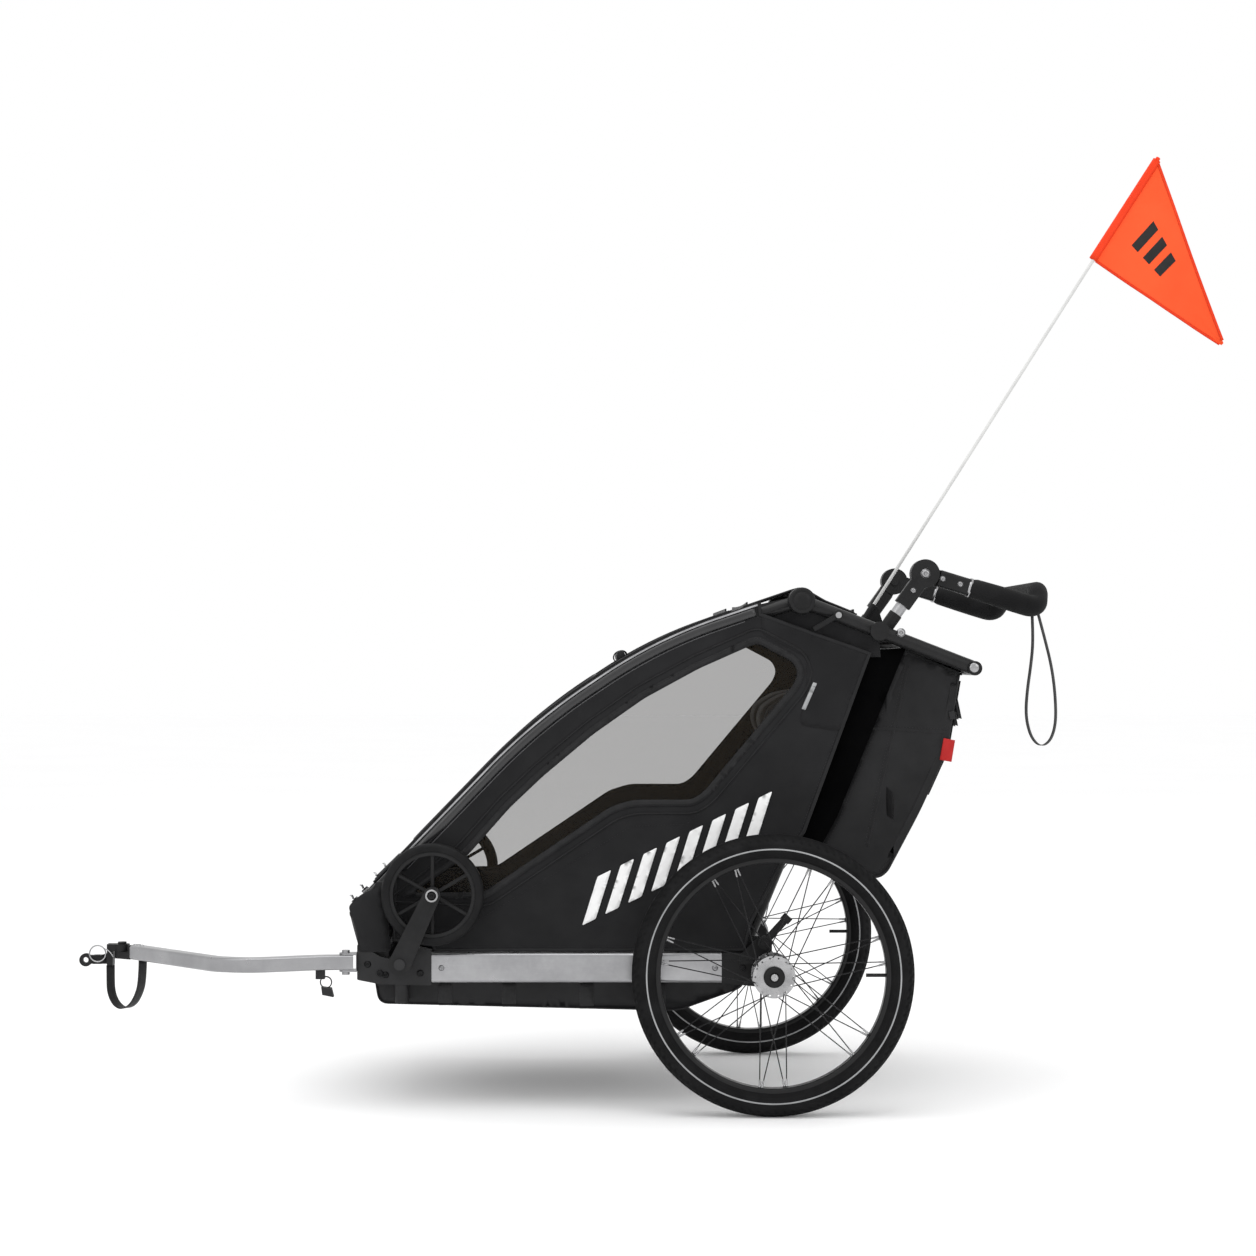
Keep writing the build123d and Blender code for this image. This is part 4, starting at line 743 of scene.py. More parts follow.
def block(name: str, middle: Vector, axes: Sequence[Vector], size: Rgb, round_off: float) -> Piece:
    """Moulded block with rounded edges.

    Args:
        name: Name of the piece.
        middle: Its middle.
        axes: Directions of its three sizes.
        size: Its sizes in millimetres.
        round_off: Radius of its edges.

    Returns:
        The block.
    """
    made = bmesh.new()
    bmesh.ops.create_cube(made, size=1)
    turn = Matrix([a.normalized() for a in axes]).transposed()
    for v in made.verts:
        v.co = middle + turn @ Vector([v.co[i] * size[i] * MM for i in range(3)])
    bmesh.ops.bevel(made, geom=list(made.edges), offset=round_off * MM, segments=3, affect="EDGES",
        profile=0.6)
    mesh = bpy.data.meshes.new(name)
    made.to_mesh(mesh)
    made.free()
    mesh.polygons.foreach_set("use_smooth", [True] * len(mesh.polygons))
    return place(name, mesh)


def stitches(line: Sequence[Vector], across: Vector, closed: bool = False) -> Piece:
    """Row of stitches along a line.

    Args:
        line: Points of the seam, in metres.
        across: Direction in which the thread is flat, the surface's normal.
        closed: Whether the seam is a ring.

    Returns:
        All stitches as one piece.
    """
    dots = np.array([tuple(p) for p in line] + ([tuple(line[0])] if closed else []))
    far = gone_along(dots) * 1000
    points, faces = [], []
    length, gap, thick = 3.4, 2.2, 0.8
    for start in np.arange(gap, far[-1] - length, length + gap):
        a, b = (Vector([np.interp(s, far, dots[:, k]) for k in range(3)]) for s in (start, start + length))
        run = (b - a).normalized()
        flat = run.cross(across).normalized() * thick / 2 * MM
        up = across.normalized() * thick / 2 * MM
        mid = (a + b) / 2
        first = len(points)
        points += [a - up * 0.6, mid + flat, b - up * 0.6, mid - flat, mid + up, mid - up]
        faces += [[first + i for i in f] for f in ((0, 1, 4), (1, 2, 4), (2, 3, 4), (3, 0, 4), (1, 0, 5),
            (2, 1, 5), (3, 2, 5), (0, 3, 5))]
    return solid("stitches", points, faces)


def pillow(name: str, face: Callable[[float, float], Vector], back: Callable[[float, float], Vector],
        rows: int, columns: int, fullness: float = 3.0) -> Piece:
    """Closed cushion between a face and a back that meet at its rim.

    Args:
        name: Name of the piece.
        face: Point of the face for two shares from 0 to 1.
        back: Point of the back for the same shares.
        rows: Steps along.
        columns: Steps across.
        fullness: How square the crown is.

    Returns:
        The cushion.
    """
    points, faces = [], []

    def index(i: int, j: int, top: bool) -> int:
        rim = i in (0, rows) or j in (0, columns)
        return (i * (columns + 1) + j) + (0 if top or rim else (rows + 1) * (columns + 1))

    for top in (True, False):
        for i in range(rows + 1):
            for j in range(columns + 1):
                u, v = i / rows, j / columns
                share = ((1 - abs(2 * u - 1) ** fullness) * (1 - abs(2 * v - 1) ** fullness)) ** (1 /
                    fullness)
                f, b = face(u, v), back(u, v)
                middle = b.lerp(f, 0.4)
                points.append(middle.lerp(f if top else b, share))
    for i in range(rows):
        for j in range(columns):
            for top in (True, False):
                four = [index(i, j, top), index(i + 1, j, top), index(i + 1, j + 1, top),
                    index(i, j + 1, top)]
                faces.append(four if top else four[::-1])
    return solid(name, points, faces)


def plump(pad: Piece, pressure: float, reach: float) -> Piece:
    """Blow a cushion up as cloth, with its movement capped.

    Args:
        pad: Closed cushion, a little small.
        pressure: Air pressure inside.
        reach: Furthest a point may move, in millimetres.

    Returns:
        The cushion with the cloth's shape.
    """
    mesh = pad.modifiers.new("even", "REMESH")
    mesh.mode = "VOXEL"
    mesh.voxel_size = 6.0 * MM
    settle(pad)
    count = len(pad.data.vertices)
    start = np.zeros(count * 3)
    pad.data.vertices.foreach_get("co", start)
    cloth = pad.modifiers.new("cloth", "CLOTH")
    cloth.settings.quality = 6
    cloth.settings.mass = 0.25
    cloth.settings.tension_stiffness = 18
    cloth.settings.compression_stiffness = 18
    cloth.settings.bending_stiffness = 2.5
    cloth.settings.use_pressure = True
    cloth.settings.uniform_pressure_force = pressure
    cloth.settings.effector_weights.gravity = 0
    cloth.point_cache.frame_start = 1
    cloth.point_cache.frame_end = 20
    for step in range(1, 21):
        bpy.context.scene.frame_set(step)
    seen = pad.evaluated_get(bpy.context.evaluated_depsgraph_get())
    end = np.zeros(count * 3)
    seen.data.vertices.foreach_get("co", end)
    pad.modifiers.clear()
    bpy.context.scene.frame_set(1)
    move = (end - start).reshape(-1, 3)
    far = np.maximum(np.linalg.norm(move, axis=1), 1e-9)
    move *= (np.minimum(far, reach * MM) / far)[:, None]
    pad.data.vertices.foreach_set("co", (start.reshape(-1, 3) + move).ravel())
    pad.data.update()
    for polygon in pad.data.polygons:
        polygon.use_smooth = True
    fine = pad.modifiers.new("fine", "SUBSURF")
    fine.levels = fine.render_levels = 1
    return settle(pad)


def press_seams(pad: Piece, away: Callable[[Vector], float], inward: Vector, depth: float,
        width: float) -> None:
    """Press sewn channels into a cushion.

    Args:
        pad: The cushion.
        away: Distance of a point from the nearest seam, in millimetres.
        inward: Direction in which the seams pull.
        depth: Depth of a channel in millimetres.
        width: Half width of a channel.
    """
    for vertex in pad.data.vertices:
        if vertex.normal.dot(inward) < -0.25:
            share = exp(-((away(vertex.co) / width) ** 2))
            vertex.co += inward * share * depth * MM


# --- roof line
@dataclass(frozen=True)
class RoofLine:
    """Side line that the bent roof tubes and the covers follow."""

    corners: tuple[Pair, ...] = ((750.0, 371.0), (431.0, 701.0), (208.0, 850.0), (-56.0, 940.0))
    radii: tuple[float, float] = (1080.0, 880.0)

    def inset(self, distance: float, front: float = 1000.0, rear: float = -56.0) -> list[Pair]:
        """Rounded line moved inwards.

        Args:
            distance: How far inwards, in millimetres.
            front: Where it starts, forward of the axle.
            rear: Where it ends.

        Returns:
            Points about 8 mm apart, from front to rear.
        """
        flat = [Vector(c) for c in self.corners]
        made: list[Vector] = [flat[0]]
        for before, corner, after, radius in zip(flat, flat[1:], flat[2:], self.radii):
            a, b = (before - corner).normalized(), (after - corner).normalized()
            half = a.angle(b) / 2
            cut = radius / tan(half)
            middle = corner + (a + b).normalized() * (radius / sin(half))
            start = corner + a * cut - middle
            turn = (corner + b * cut - middle).angle(start)
            sign = 1 if start.x * (corner + b * cut - middle).y - start.y * (corner + b * cut -
                middle).x > 0 else -1
            count = max(4, int(radius * turn / 8))
            for i in range(count + 1):
                angle = sign * turn * i / count
                made.append(middle + Vector((start.x * cos(angle) - start.y * sin(angle),
                    start.x * sin(angle) + start.y * cos(angle))))
        made.append(flat[-1])
        line = resample([(p.x, p.y) for p in made], 8)
        moved = []
        for i, p in enumerate(line):
            a, b = line[max(0, i - 1)], line[min(len(line) - 1, i + 1)]
            run = (Vector(b) - Vector(a)).normalized()
            moved.append((p[0] - run.y * distance, p[1] + run.x * distance))
        return [p for p in moved if rear <= p[0] <= front]


ROOF = RoofLine()


# --- wheels
@dataclass
class RoadWheel:
    """Spoked road wheel with its tyre, nipples and dust cap."""

    side: Side
    track: float = 720.0
    radius: float = 250.0
    tyre: float = 23.5
    steps: int = 396

    def middle(self, out: float = 0.0) -> Vector:
        """Wheel centre, moved outwards in millimetres."""
        return at(0, self.radius, self.side * (self.track / 2 + out))

    def build_tyre(self) -> None:
        """Tyre with bead, sidewalls and cut tread blocks."""
        ring = self.radius - self.tyre
        angles = [radians(a) for a in (-152, -138, -122, -106, -90, -76, -64, -54, -44, -34, -24, -14, -5,
            5, 14, 24, 34, 44, 54, 64, 76, 90, 106, 122, 138, 152)]
        points, faces, wide = [], [], len(angles)
        out = self.side.out
        for i in range(self.steps):
            turn = 2 * pi * i / self.steps
            away = Vector((cos(turn), 0, sin(turn)))
            for k, angle in enumerate(angles):
                crown = abs(degrees(angle)) < 60
                lane = abs(k - (wide - 1) / 2)
                slanted = (i + int(lane * 1.5)) % 4 == 0
                cut = 2.6 if crown and slanted and lane > 0.6 else 0.0
                cut += 1.4 if crown and lane in (2.5, 5.5) else 0.0
                r = self.tyre - cut
                points.append(self.middle() + (away * (ring + r * cos(angle)) + out * r * sin(angle)) * MM)
        for i in range(self.steps):
            n = (i + 1) % self.steps
            faces += [[i * wide + k, n * wide + k, n * wide + k + 1,
                i * wide + k + 1] for k in range(wide - 1)]
        made = dress(solid(f"tyre_tread_{self.side.tag}", points, faces), TYRE_RUBBER)
        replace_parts(made, f"tyre_{self.side.tag}")
        self.carry(made)

    def carry(self, piece: Piece) -> None:
        """Let a piece turn with the wheel."""
        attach(piece, f"wheel_{self.side.tag}")

    def build_stripes(self) -> None:
        """Reflective stripe and moulded lines on both sidewalls."""
        axis = self.side.out
        stripes, lines = [], []
        for face in (1, -1):
            stripes.append(turned("stripe", self.middle(), axis * face,
                [(222.6, 22.9), (222.9, 23.45), (225.1, 23.6), (225.4, 23.1)], 180))
            for r, y in ((231.5, 23.2), (217.0, 21.6), (212.5, 18.9)):
                lines.append(turned("line", self.middle(), axis * face,
                    [(r - 0.8, y - 0.5), (r, y + 0.35), (r + 0.8, y - 0.5)], 180))
        for name, parts, finish in (("reflective_stripe", stripes, REFLECTIVE),
                ("sidewall_lines", lines, TYRE_RUBBER)):
            self.carry(dress(join(f"{name}_{self.side.tag}", parts), finish))

    def spoke_runs(self) -> list[tuple[Vector, Vector]]:
        """Rim end and hub end of every spoke, read from the CAD spokes.

        Returns:
            Pairs of points.
        """
        mesh = frame["nodes"][f"spokes_{self.side.tag}"].data
        look = bmesh.new()
        look.from_mesh(mesh)
        bmesh.ops.remove_doubles(look, verts=look.verts, dist=1e-5)
        left, runs = dict.fromkeys(look.verts), []
        hub = self.middle()
        while left:
            group, queue = [], [left.popitem()[0]]
            while queue:
                vertex = queue.pop()
                group.append(vertex.co.copy())
                for edge in vertex.link_edges:
                    other = edge.other_vert(vertex)
                    if other in left:
                        del left[other]
                        queue.append(other)
            far = [hypot(p.x - hub.x, p.z - hub.z) for p in group]
            outer = [p for p, f in zip(group, far) if f > max(far) - 0.002]
            inner = [p for p, f in zip(group, far) if f < min(far) + 0.004]
            if max(far) - min(far) > 0.1:
                runs.append((sum(outer, Vector()) / len(outer), sum(inner, Vector()) / len(inner)))
        look.free()
        return runs

    def build_nipples(self) -> None:
        """Silver nipples where the spokes meet the rim, and their bent heads at the flanges."""
        parts = []
        for rim_end, hub_end in self.spoke_runs():
            run = (hub_end - rim_end).normalized()
            parts.append(turned("nipple", rim_end, run, [(0, -0.5), (2.6, -0.5), (2.6, 1.0), (1.9, 1.6),
                (1.75, 11), (1.3, 13), (1.0, 13.2)], 8))
            parts.append(turned("head", hub_end, run, [(0, -1.6), (1.4, -1.3), (1.7, 0), (1.2, 1.5)], 8))
        self.carry(dress(join(f"spoke_nipples_{self.side.tag}", parts), STEEL))

    def build_hub(self) -> None:
        """Dust cap and chrome button."""
        axis = self.side.out
        tag = self.side.tag
        cap = turned(f"dust_cap_{tag}", self.middle(), axis, [(18.6, 26), (18.9, 30), (18.2, 34.6),
            (15.5, 36.8), (9.2, 37.6), (8.6, 36.6), (6.4, 36.4)], 40)
        self.carry(dress(cap, BLACK_PLASTIC))
        button = turned(f"release_button_{tag}", self.middle(), axis,
            [(6.6, 35.5), (6.6, 38.0), (5.6, 38.9), (2.6, 39.1), (2.2, 38.3), (0, 38.2)], 28)
        self.carry(dress(button, STEEL))

    def build(self) -> None:
        """Build the whole wheel."""
        self.build_tyre()
        self.build_stripes()
        self.build_nipples()
        self.build_hub()
        repaint(RIM_BLACK, f"rim_{self.side.tag}")
        repaint(DARK_STEEL, f"spokes_{self.side.tag}")
        repaint(STEEL, f"hub_{self.side.tag}")


# --- chassis
@dataclass
class Chassis:
    """Rails, castings, floor tub and brake."""
    tub_half: float = 269.2
    tub_line: tuple[Pair, ...] = ((714, 251.5), (704, 189), (165, 176), (48, 218), (40, 251.5))

    def build_tub(self) -> None:
        """Coated fabric tub with rounded ends, a hem and straps sewn under it."""
        line = soften(self.tub_line, 16)
        line = resample(line, 14)
        columns = 30
        points, faces = [], []
        for xa, z in line:
            for j in range(columns + 1):
                v = 2 * j / columns - 1
                sag = 2.2 * (1 - v * v) * (0.4 + 0.6 * noise(Vector((xa * 0.011, v * 2.5, 0.3))))
                points.append(at(xa, z - (sag if z < 230 else 0), v * self.tub_half))
        faces = grid(len(line) - 1, columns)
        belly = solid("belly", points, faces)
        walls = []
        for side in Side:
            flat, tris = fill(line, [], 16)
            walls.append(solid("wall", [at(x, z, side * (self.tub_half - 0.4 + 0.5 * sin(x / 37) *
                cos(z / 19))) for x, z in flat], tris))
        shell = thicken(join("floor_tub_fabric", [belly, *walls]), 1.6)
        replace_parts(dress(shell, COATED_CLOTH), "floor_tub")
        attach(shell, "chassis")
        cords = [sweep("seam", [at(x, z, side * self.tub_half) for x, z in line],
            circle(1.6, 8)) for side in Side]
        mount(join("floor_tub_piping", cords), BINDING_TAPE, "chassis")
        bands = []
        for xa in (200.0, 330.0, 470.0, 585.0):
            floor = 176 + (189 - 176) * (xa - 165) / 539
            for side in Side:
                y = side * (self.tub_half + 0.9)
                bands.append(sweep("band", [at(xa, z, y) for z in (226, 216, 206, 196, floor + 3)],
                    strap(25, 1.1), across=AHEAD))
            bands.append(sweep("band", [at(xa, floor - 2.6, y) for y in range(-262, 263, 20)],
                strap(25, 1.2), across=AHEAD))
        mount(join("floor_tub_straps", bands), WEBBING, "chassis")

    def build_rail_details(self) -> None:
        """Rivets of the rails and bolts of the castings."""
        rivets, steel = [], []
        for side in Side:
            out = side.out
            for xa in (590.0, 100.0):
                rivets.append(screw("rivet", at(xa, 255, side * 297), out, 4.2, 2.0))
            for xa, z in ((628.0, 246.0), (722.0, 262.0), (690.0, 243.0)):
                steel.append(screw("bolt", at(xa, z, side * 299), out, 5.0, 2.4))
        mount(join("rail_rivets", rivets), ALUMINIUM, "chassis")
        mount(join("casting_bolts", steel), DARK_STEEL, "chassis")

    def build(self) -> None:
        """Build the chassis."""
        self.build_tub()
        self.build_rail_details()
        repaint(ALUMINIUM, "side_rails")
        repaint(GREY_PLASTIC, "front_connector_left", "front_connector_right")
        repaint(BLACK_PLASTIC, "axle_housing_left", "axle_housing_right", "brake_bracket", "brake_lever")
        repaint(DARK_STEEL, "cross_tubes", "chassis_bolts")
        repaint(ALUMINIUM, "tow_hinge")


# --- cabin sides
@dataclass
class CabinSide:
    """Fabric side of the cabin with its window, seams and print."""

    side: Side
    face: float = 284.2
    low: float = 282.6
    fold_from: float = 0.284
    fold_to: float = 0.684
    window: tuple[Pair, ...] = ((650, 386), (513, 386), (285, 540), (245, 552), (140, 552), (118, 566),
        (-46, 762), (-54, 784), (-44, 806), (24, 842), (130, 795), (229, 741), (320, 677), (411, 601),
        (471, 544), (548, 457))
    edge: np.ndarray = field(init=False)
    outline: list[Pair] = field(init=False)
    opening: list[Pair] = field(init=False)

    def __post_init__(self) -> None:
        """Work out the panel's outline and its window."""
        top = [p for p in ROOF.inset(3.2, front=679) if p[0] > 16]
        rear = [(16, 891), (-20, 878), (-182, 820), (-63, 497), (-24, 443), (32, 335), (45, self.low),
            (604, self.low), (612, 300.3), (679, 300.3)]
        self.outline = [*top, *rear]
        self.opening = soften(self.window, 13, True)
        self.edge = np.array(resample(self.outline, 12, True) + resample(self.opening, 12, True))

    def depth(self, xa: float, z: float) -> float:
        """How far the cloth lies outwards at a point, with its hollows and tension folds.

        Args:
            xa: Distance forward of the axle.
            z: Height.

        Returns:
            Millimetres from the middle plane.
        """
        gap = float(np.linalg.norm(self.edge - (xa, z), axis=1).min())
        share = 1 - exp(-gap / 26)
        soft = noise(Vector((xa * 0.009, z * 0.009, self.side * 3.1)))
        fold = noise(Vector(((xa + 0.6 * z) * 0.028, (z - 0.5 * xa) * 0.006, 7.7)))
        return self.face - share * (2.6 + 2.0 * soft + 1.5 * fold)

    def on_cloth(self, points: Outline, lift: float) -> list[Vector]:
        """Points lifted off the cloth by a distance."""
        return [at(x, z, self.side * (self.depth(x, z) + lift)) for x, z in points]

    def fold(self, piece: Piece) -> Piece:
        """Bake a piece's transform into its mesh."""
        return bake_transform(piece)

    def cloth_piece(self, name: str, ring: Outline, holes: Sequence[Outline], lift: float, wall: float,
            finish: Finish, step: float = 11) -> Piece:
        """Layer of cloth that lies on the side.

        Args:
            name: Name of the piece.
            ring: Its outline.
            holes: Its openings.
            lift: How far it lies off the panel.
            wall: Its thickness.
            finish: Its finish.
            step: Size of its faces.

        Returns:
            The layer.
        """
        flat, tris = fill(ring, holes, step)
        made = solid(f"{name}_{self.side.tag}", self.on_cloth(flat, lift), tris)
        return self.fold(dress(thicken(made, wall), finish))

    def build_panel(self) -> None:
        """Main panel, window binding and the cloth patch on the upper rear corner."""
        panel = self.cloth_piece("cabin_panel", self.outline, [self.opening], 0, 1.5, CABIN_CLOTH)
        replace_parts(panel, f"side_panel_{self.side.tag}")
        self.cloth_piece("window_binding", soften(grow(self.window, 9), 14, True),
            [soften(grow(self.window, -4), 12, True)], 1.1, 0.9, BINDING_TAPE, 9)
        upper = [(16, 889), (-20, 876), (-178, 820), (-126, 678), (-52, 690), (-66, 772), (-64, 812),
            (16, 852)]
        self.cloth_piece("rear_corner_patch", soften(upper, 12, True), [], 1.0, 0.8, UPPER_CLOTH, 12)

    def build_film(self) -> None:
        """Tinted window film."""
        flat, tris = fill(soften(grow(self.window, 2), 12, True), [], 14)
        points = []
        for x, z in flat:
            gap = float(np.linalg.norm(self.edge - (x, z), axis=1).min())
            wave = 1.4 * noise(Vector((x * 0.006, z * 0.008, self.side * 1.7)))
            points.append(at(x, z, self.side * (283.2 + (1 - exp(-gap / 40)) * wave)))
        film = dress(solid(f"window_film_{self.side.tag}", points, tris), WINDOW_FILM)
        if self.side is Side.LEFT:
            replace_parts(film, "side_windows")
        self.fold(film)

    def build_seams(self) -> None:
        """Piping round the window, hems and rows of stitches."""
        out = self.side.out
        ring = soften(grow(self.window, 21), 16, True)
        kept = [p for p in resample(ring, 9, True) if 300 < p[1] < 870]
        piping = [sweep("cord", self.on_cloth(kept, 1.3), circle(1.7, 8), closed=True)]
        piping.append(sweep("hem", self.on_cloth(resample(grow(self.outline, -3.2), 9, True), 0.9),
            strap(6, 1.6), across=None, closed=True))
        self.fold(dress(join(f"panel_piping_{self.side.tag}", piping), BINDING_TAPE))
        rows = [stitches(self.on_cloth(resample(soften(grow(self.window, 6.5), 14, True), 5, True), 1.9),
            out, True), stitches(self.on_cloth(resample(soften(grow(self.window, -1.5), 12, True), 5, True),
            1.9), out, True), stitches(self.on_cloth(resample(grow(self.outline, -9), 6, True), 1.1), out,
            True)]
        for a, b in (((-126, 684), (-178, 826)), ((540, 330), (250, 508)), ((250, 508), (150, 512)),
                ((150, 512), (60, 590))):
            rows.append(stitches(self.on_cloth(resample([a, b], 6), 1.5), out))
        self.fold(dress(join(f"panel_stitches_{self.side.tag}", rows), THREAD))

    def build_roof_edge(self) -> None:
        """Silver piping, the rounded tube sleeve below it and the grey seam along the roof."""
        edge = self.on_cloth([p for p in ROOF.inset(7.0, front=672) if p[0] > 20], 1.6)
        self.fold(dress(sweep(f"roof_silver_line_{self.side.tag}", edge, strap(3.6, 2.4)), SILVER_PIPING))
        bead = self.on_cloth([p for p in ROOF.inset(17.5, front=668) if p[0] > 24], 1.2)
        self.fold(dress(sweep(f"tube_sleeve_{self.side.tag}", bead,
            [(8.6, -0.6), (7.2, 2.0), (4.2, 3.8), (0, 4.6), (-4.2, 3.8), (-7.2, 2.0), (-8.6, -0.6)]),
            GLOSS_VINYL))
        web = [at(x, z, self.side * 255) for x, z in ROOF.inset(27, front=738, rear=-44)]
        mount(sweep(f"roof_web_{self.side.tag}", web, strap(54, 1.2), across=ACROSS), CABIN_CLOTH,
            "roof_frame")
        seam = self.on_cloth([p for p in ROOF.inset(28, front=655) if p[0] > 40], 1.0)
        self.fold(dress(sweep(f"roof_seam_{self.side.tag}", seam, circle(0.8, 6)), SEAT_TRIM))

    def build_gussets(self) -> None:
        """Dark cloth behind the rear edge, under the top bar and round the front post. The lining behind
        the rear edge is painted near black, as painted shade for its recess.
        """
        flat, tris = fill([(-176, 824), (-246, 828), (-190, 690), (-122, 524), (-86, 458), (-20, 440),
            (-56, 498)], [], 16)
        rear = solid(f"rear_gusset_{self.side.tag}", [at(x, z, self.side * 262) for x, z in flat], tris)
        # Lining painted near black with almost no specular: painted shade for the recess behind the rear
        # edge.
        self.fold(dress(thicken(rear, 1.2), LINING_WITH_PAINTED_SHADE))
        flat, tris = fill([(30, 880), (24, 906), (-30, 918), (-60, 912), (-196, 859), (-200, 812),
            (-182, 812), (-20, 868)], [], 14)
        top = solid(f"top_gusset_{self.side.tag}", [at(x, z, self.side * (269 + 2 * sin(x / 21))) for x,
            z in flat], tris)
        mount(thicken(top, 1.6), CABIN_CLOTH, "roof_frame")
        flat, tris = fill(soften([(681, 284), (739, 284), (741, 320), (757, 366), (733, 388), (699, 402),
            (681, 300)], 8, True), [], 10)
        post = solid(f"front_gusset_{self.side.tag}", [at(x, z, self.side * (299.6 if x > 690 else 296)) for
            x, z in flat], tris)
        piece = dress(thicken(post, 1.4), CABIN_CLOTH)
        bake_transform(piece)

    def build_print(self) -> None:
        """Row of plain slanted bars and the reflective tab."""
        bars = []
        start, along, up = Vector((338, 330)), Vector((-0.9, 0.44)).normalized(), Vector((-0.30,
            0.95)).normalized()
        for number in range(8):
            ring = [start + along * (46 * number + a) + up * b for a,
                b in ((0, 0), (27, 0), (27, 92), (0, 92))]
            bars.append(fill(soften([(p.x, p.y) for p in ring], 3, True), [], 7))
        points, tris = [], []
        for flat, faces in bars:
            first = len(points)
            points += self.on_cloth(flat, 2.4)
            tris += [[first + i for i in f] for f in faces]
        self.fold(dress(thicken(solid(f"side_bars_{self.side.tag}", points, tris), 0.5), WHITE_PRINT))
        tab = [(-84, 765), (-77, 767), (-56, 719), (-63, 717)]
        self.cloth_piece("reflective_tab", soften(tab, 1.5, True), [], 1.9, 0.8, REFLECTIVE, 6)

    def build(self) -> None:
        """Build the side."""
        self.build_panel()
        self.build_film()
        self.build_seams()
        self.build_roof_edge()
        self.build_gussets()
        self.build_print()


# --- roof
@dataclass
class Roof:
    """Front cover, top cover, nose bumper and the joints of the roof frame."""

    cover_half: float = 251.5
    cover_front: float = 720.0
    cover_rear: float = 62.0

    def cover_sheet(self, name: str, line: Outline, half: float, hole: tuple[float, float, float] | None,
            sag: float, finish: Finish, wall: float = 1.6) -> Piece:
        """Sheet that follows a side line from one side of the roof to the other.

        Args:
            name: Name of the piece.
            line: Side line from front to rear.
            half: Half its width.
            hole: Start, end and half width of its opening, or None.
            sag: How far it hangs at its middle.
            finish: Its finish.
            wall: Its thickness.

        Returns:
            The sheet.
        """
        dots = np.array(line)
        far = gone_along(dots)
        ring = [(0.0, -half), (far[-1], -half), (far[-1], half), (0.0, half)]
        holes = []
        if hole:
            start, end, wide = hole
            end = far[-1] - end
            holes = [soften([(start, -wide), (end, -wide * 0.86), (end, wide * 0.86), (start, wide)], 45,
                True)]
        flat, tris = fill(ring, holes, 15)
        points = []
        for s, y in flat:
            points.append(self.on_line(dots, far, s, y, -sag * (1 - (y / half) ** 2) + 1.1 *
                noise(Vector((s * 0.012, y * 0.01, 5.0))) * (1 - (y / half) ** 4)))
        made = solid(name, points, tris)
        return dress(thicken(made, wall) if wall else made, finish)

    def on_line(self, dots: np.ndarray, far: np.ndarray, s: float, y: float, lift: float) -> Vector:
        """Point of the roof at a distance along its side line, lifted off it.

        Args:
            dots: Side line.
            far: Distance along it at each point.
            s: Distance along it.
            y: Distance across.
            lift: How far above it.

        Returns:
            The point.
        """
        x, z = np.interp(s, far, dots[:, 0]), np.interp(s, far, dots[:, 1])
        ahead = np.array([np.interp(s + 6, far, dots[:, k]) - np.interp(s - 6, far, dots[:, k]) for k in (0,
            1)])
        ahead /= max(1e-9, np.linalg.norm(ahead))
        return at(x + ahead[1] * lift, z - ahead[0] * lift, y)

    def build_front_cover(self) -> None:
        """Front cover with its clear window, binding, stitches, zips, rolled shade and ties."""
        line = ROOF.inset(2.2, self.cover_front, self.cover_rear)
        dots = np.array(line)
        far = gone_along(dots)
        hole = (92.0, 270.0, 196.0)
        cover = self.cover_sheet("front_cover_cloth", line, self.cover_half, hole, 2.5, UPPER_CLOTH)
        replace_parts(cover, "front_cover")
        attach(cover, "front_cover")
        glass = self.cover_sheet("front_window_film", [p for p in ROOF.inset(2.8, 660, 300)], 199, None,
            2.0, WINDOW_FILM, 0)
        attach(glass, "front_cover")
        start, end, wide = hole[0], far[-1] - hole[1], hole[2]
        ring = resample(soften([(start, -wide), (end, -wide * 0.86), (end, wide * 0.86), (start, wide)], 45,
            True), 10, True)
        bind = [self.on_line(dots, far, s, y, 0.2 - 2.5 * (1 - (y / self.cover_half) ** 2)) for s,
            y in ring]
        rim = sweep("window_rim", bind, strap(15, 2.0), closed=True)
        edges = [sweep("edge", [self.on_line(dots, far, s, side * 250.0, 0.2) for s in np.arange(0, far[-1],
            9)], circle(2.6, 10)) for side in Side]
        hems = [sweep("hem", [self.on_line(dots, far, s, y, 0) for y in range(-248, 249, 16)],
            strap(16, 2.4)) for s in (9.0, far[-1] - 10)]
        mount(join("front_cover_binding", [rim, *edges, *hems]), BINDING_TAPE, "front_cover")
        out = Vector((0.66, 0, 0.75))
        rows = [stitches([p + out * 1.3 * MM for p in bind], out, True)]
        for side in Side:
            for y in (238.0, 216.0):
                rows.append(stitches([self.on_line(dots, far, s, side * y,
                    0.7 - 2.5 * (1 - (y / 251.5) ** 2)) for s in np.arange(14, far[-1] - 12, 9)], out))
        mount(join("front_cover_stitches", rows), THREAD, "front_cover")
        zips = [sweep("zip", [self.on_line(dots, far, s, side * 227.0,
            0.5 - 2.5 * (1 - (227 / 251.5) ** 2)) for s in np.arange(16, far[-1] - 14, 9)],
            strap(5, 1.8)) for side in Side]
        mount(join("front_cover_zips", zips), DARK_STEEL, "front_cover")
        roll = sweep("rolled_shade", [self.on_line(dots, far, far[-1] - 215, y, 6) for y in range(-205, 206,
            10)], circle(11, 16), scale=lambda t: (1 + 0.06 * sin(t * 31), 0.75 + 0.05 * sin(t * 23)))
        mount(roll, CABIN_CLOTH, "front_cover")
        ties = [sweep("tie", [self.on_line(dots, far, far[-1] - 215 + 13 * cos(a), y,
            6 + 10.5 * sin(a)) for a in np.linspace(-0.3, pi + 0.3, 14)], strap(14, 1.4),
            across=ACROSS) for y in (-120, 0, 120)]
        mount(join("shade_ties", ties), WEBBING, "front_cover")

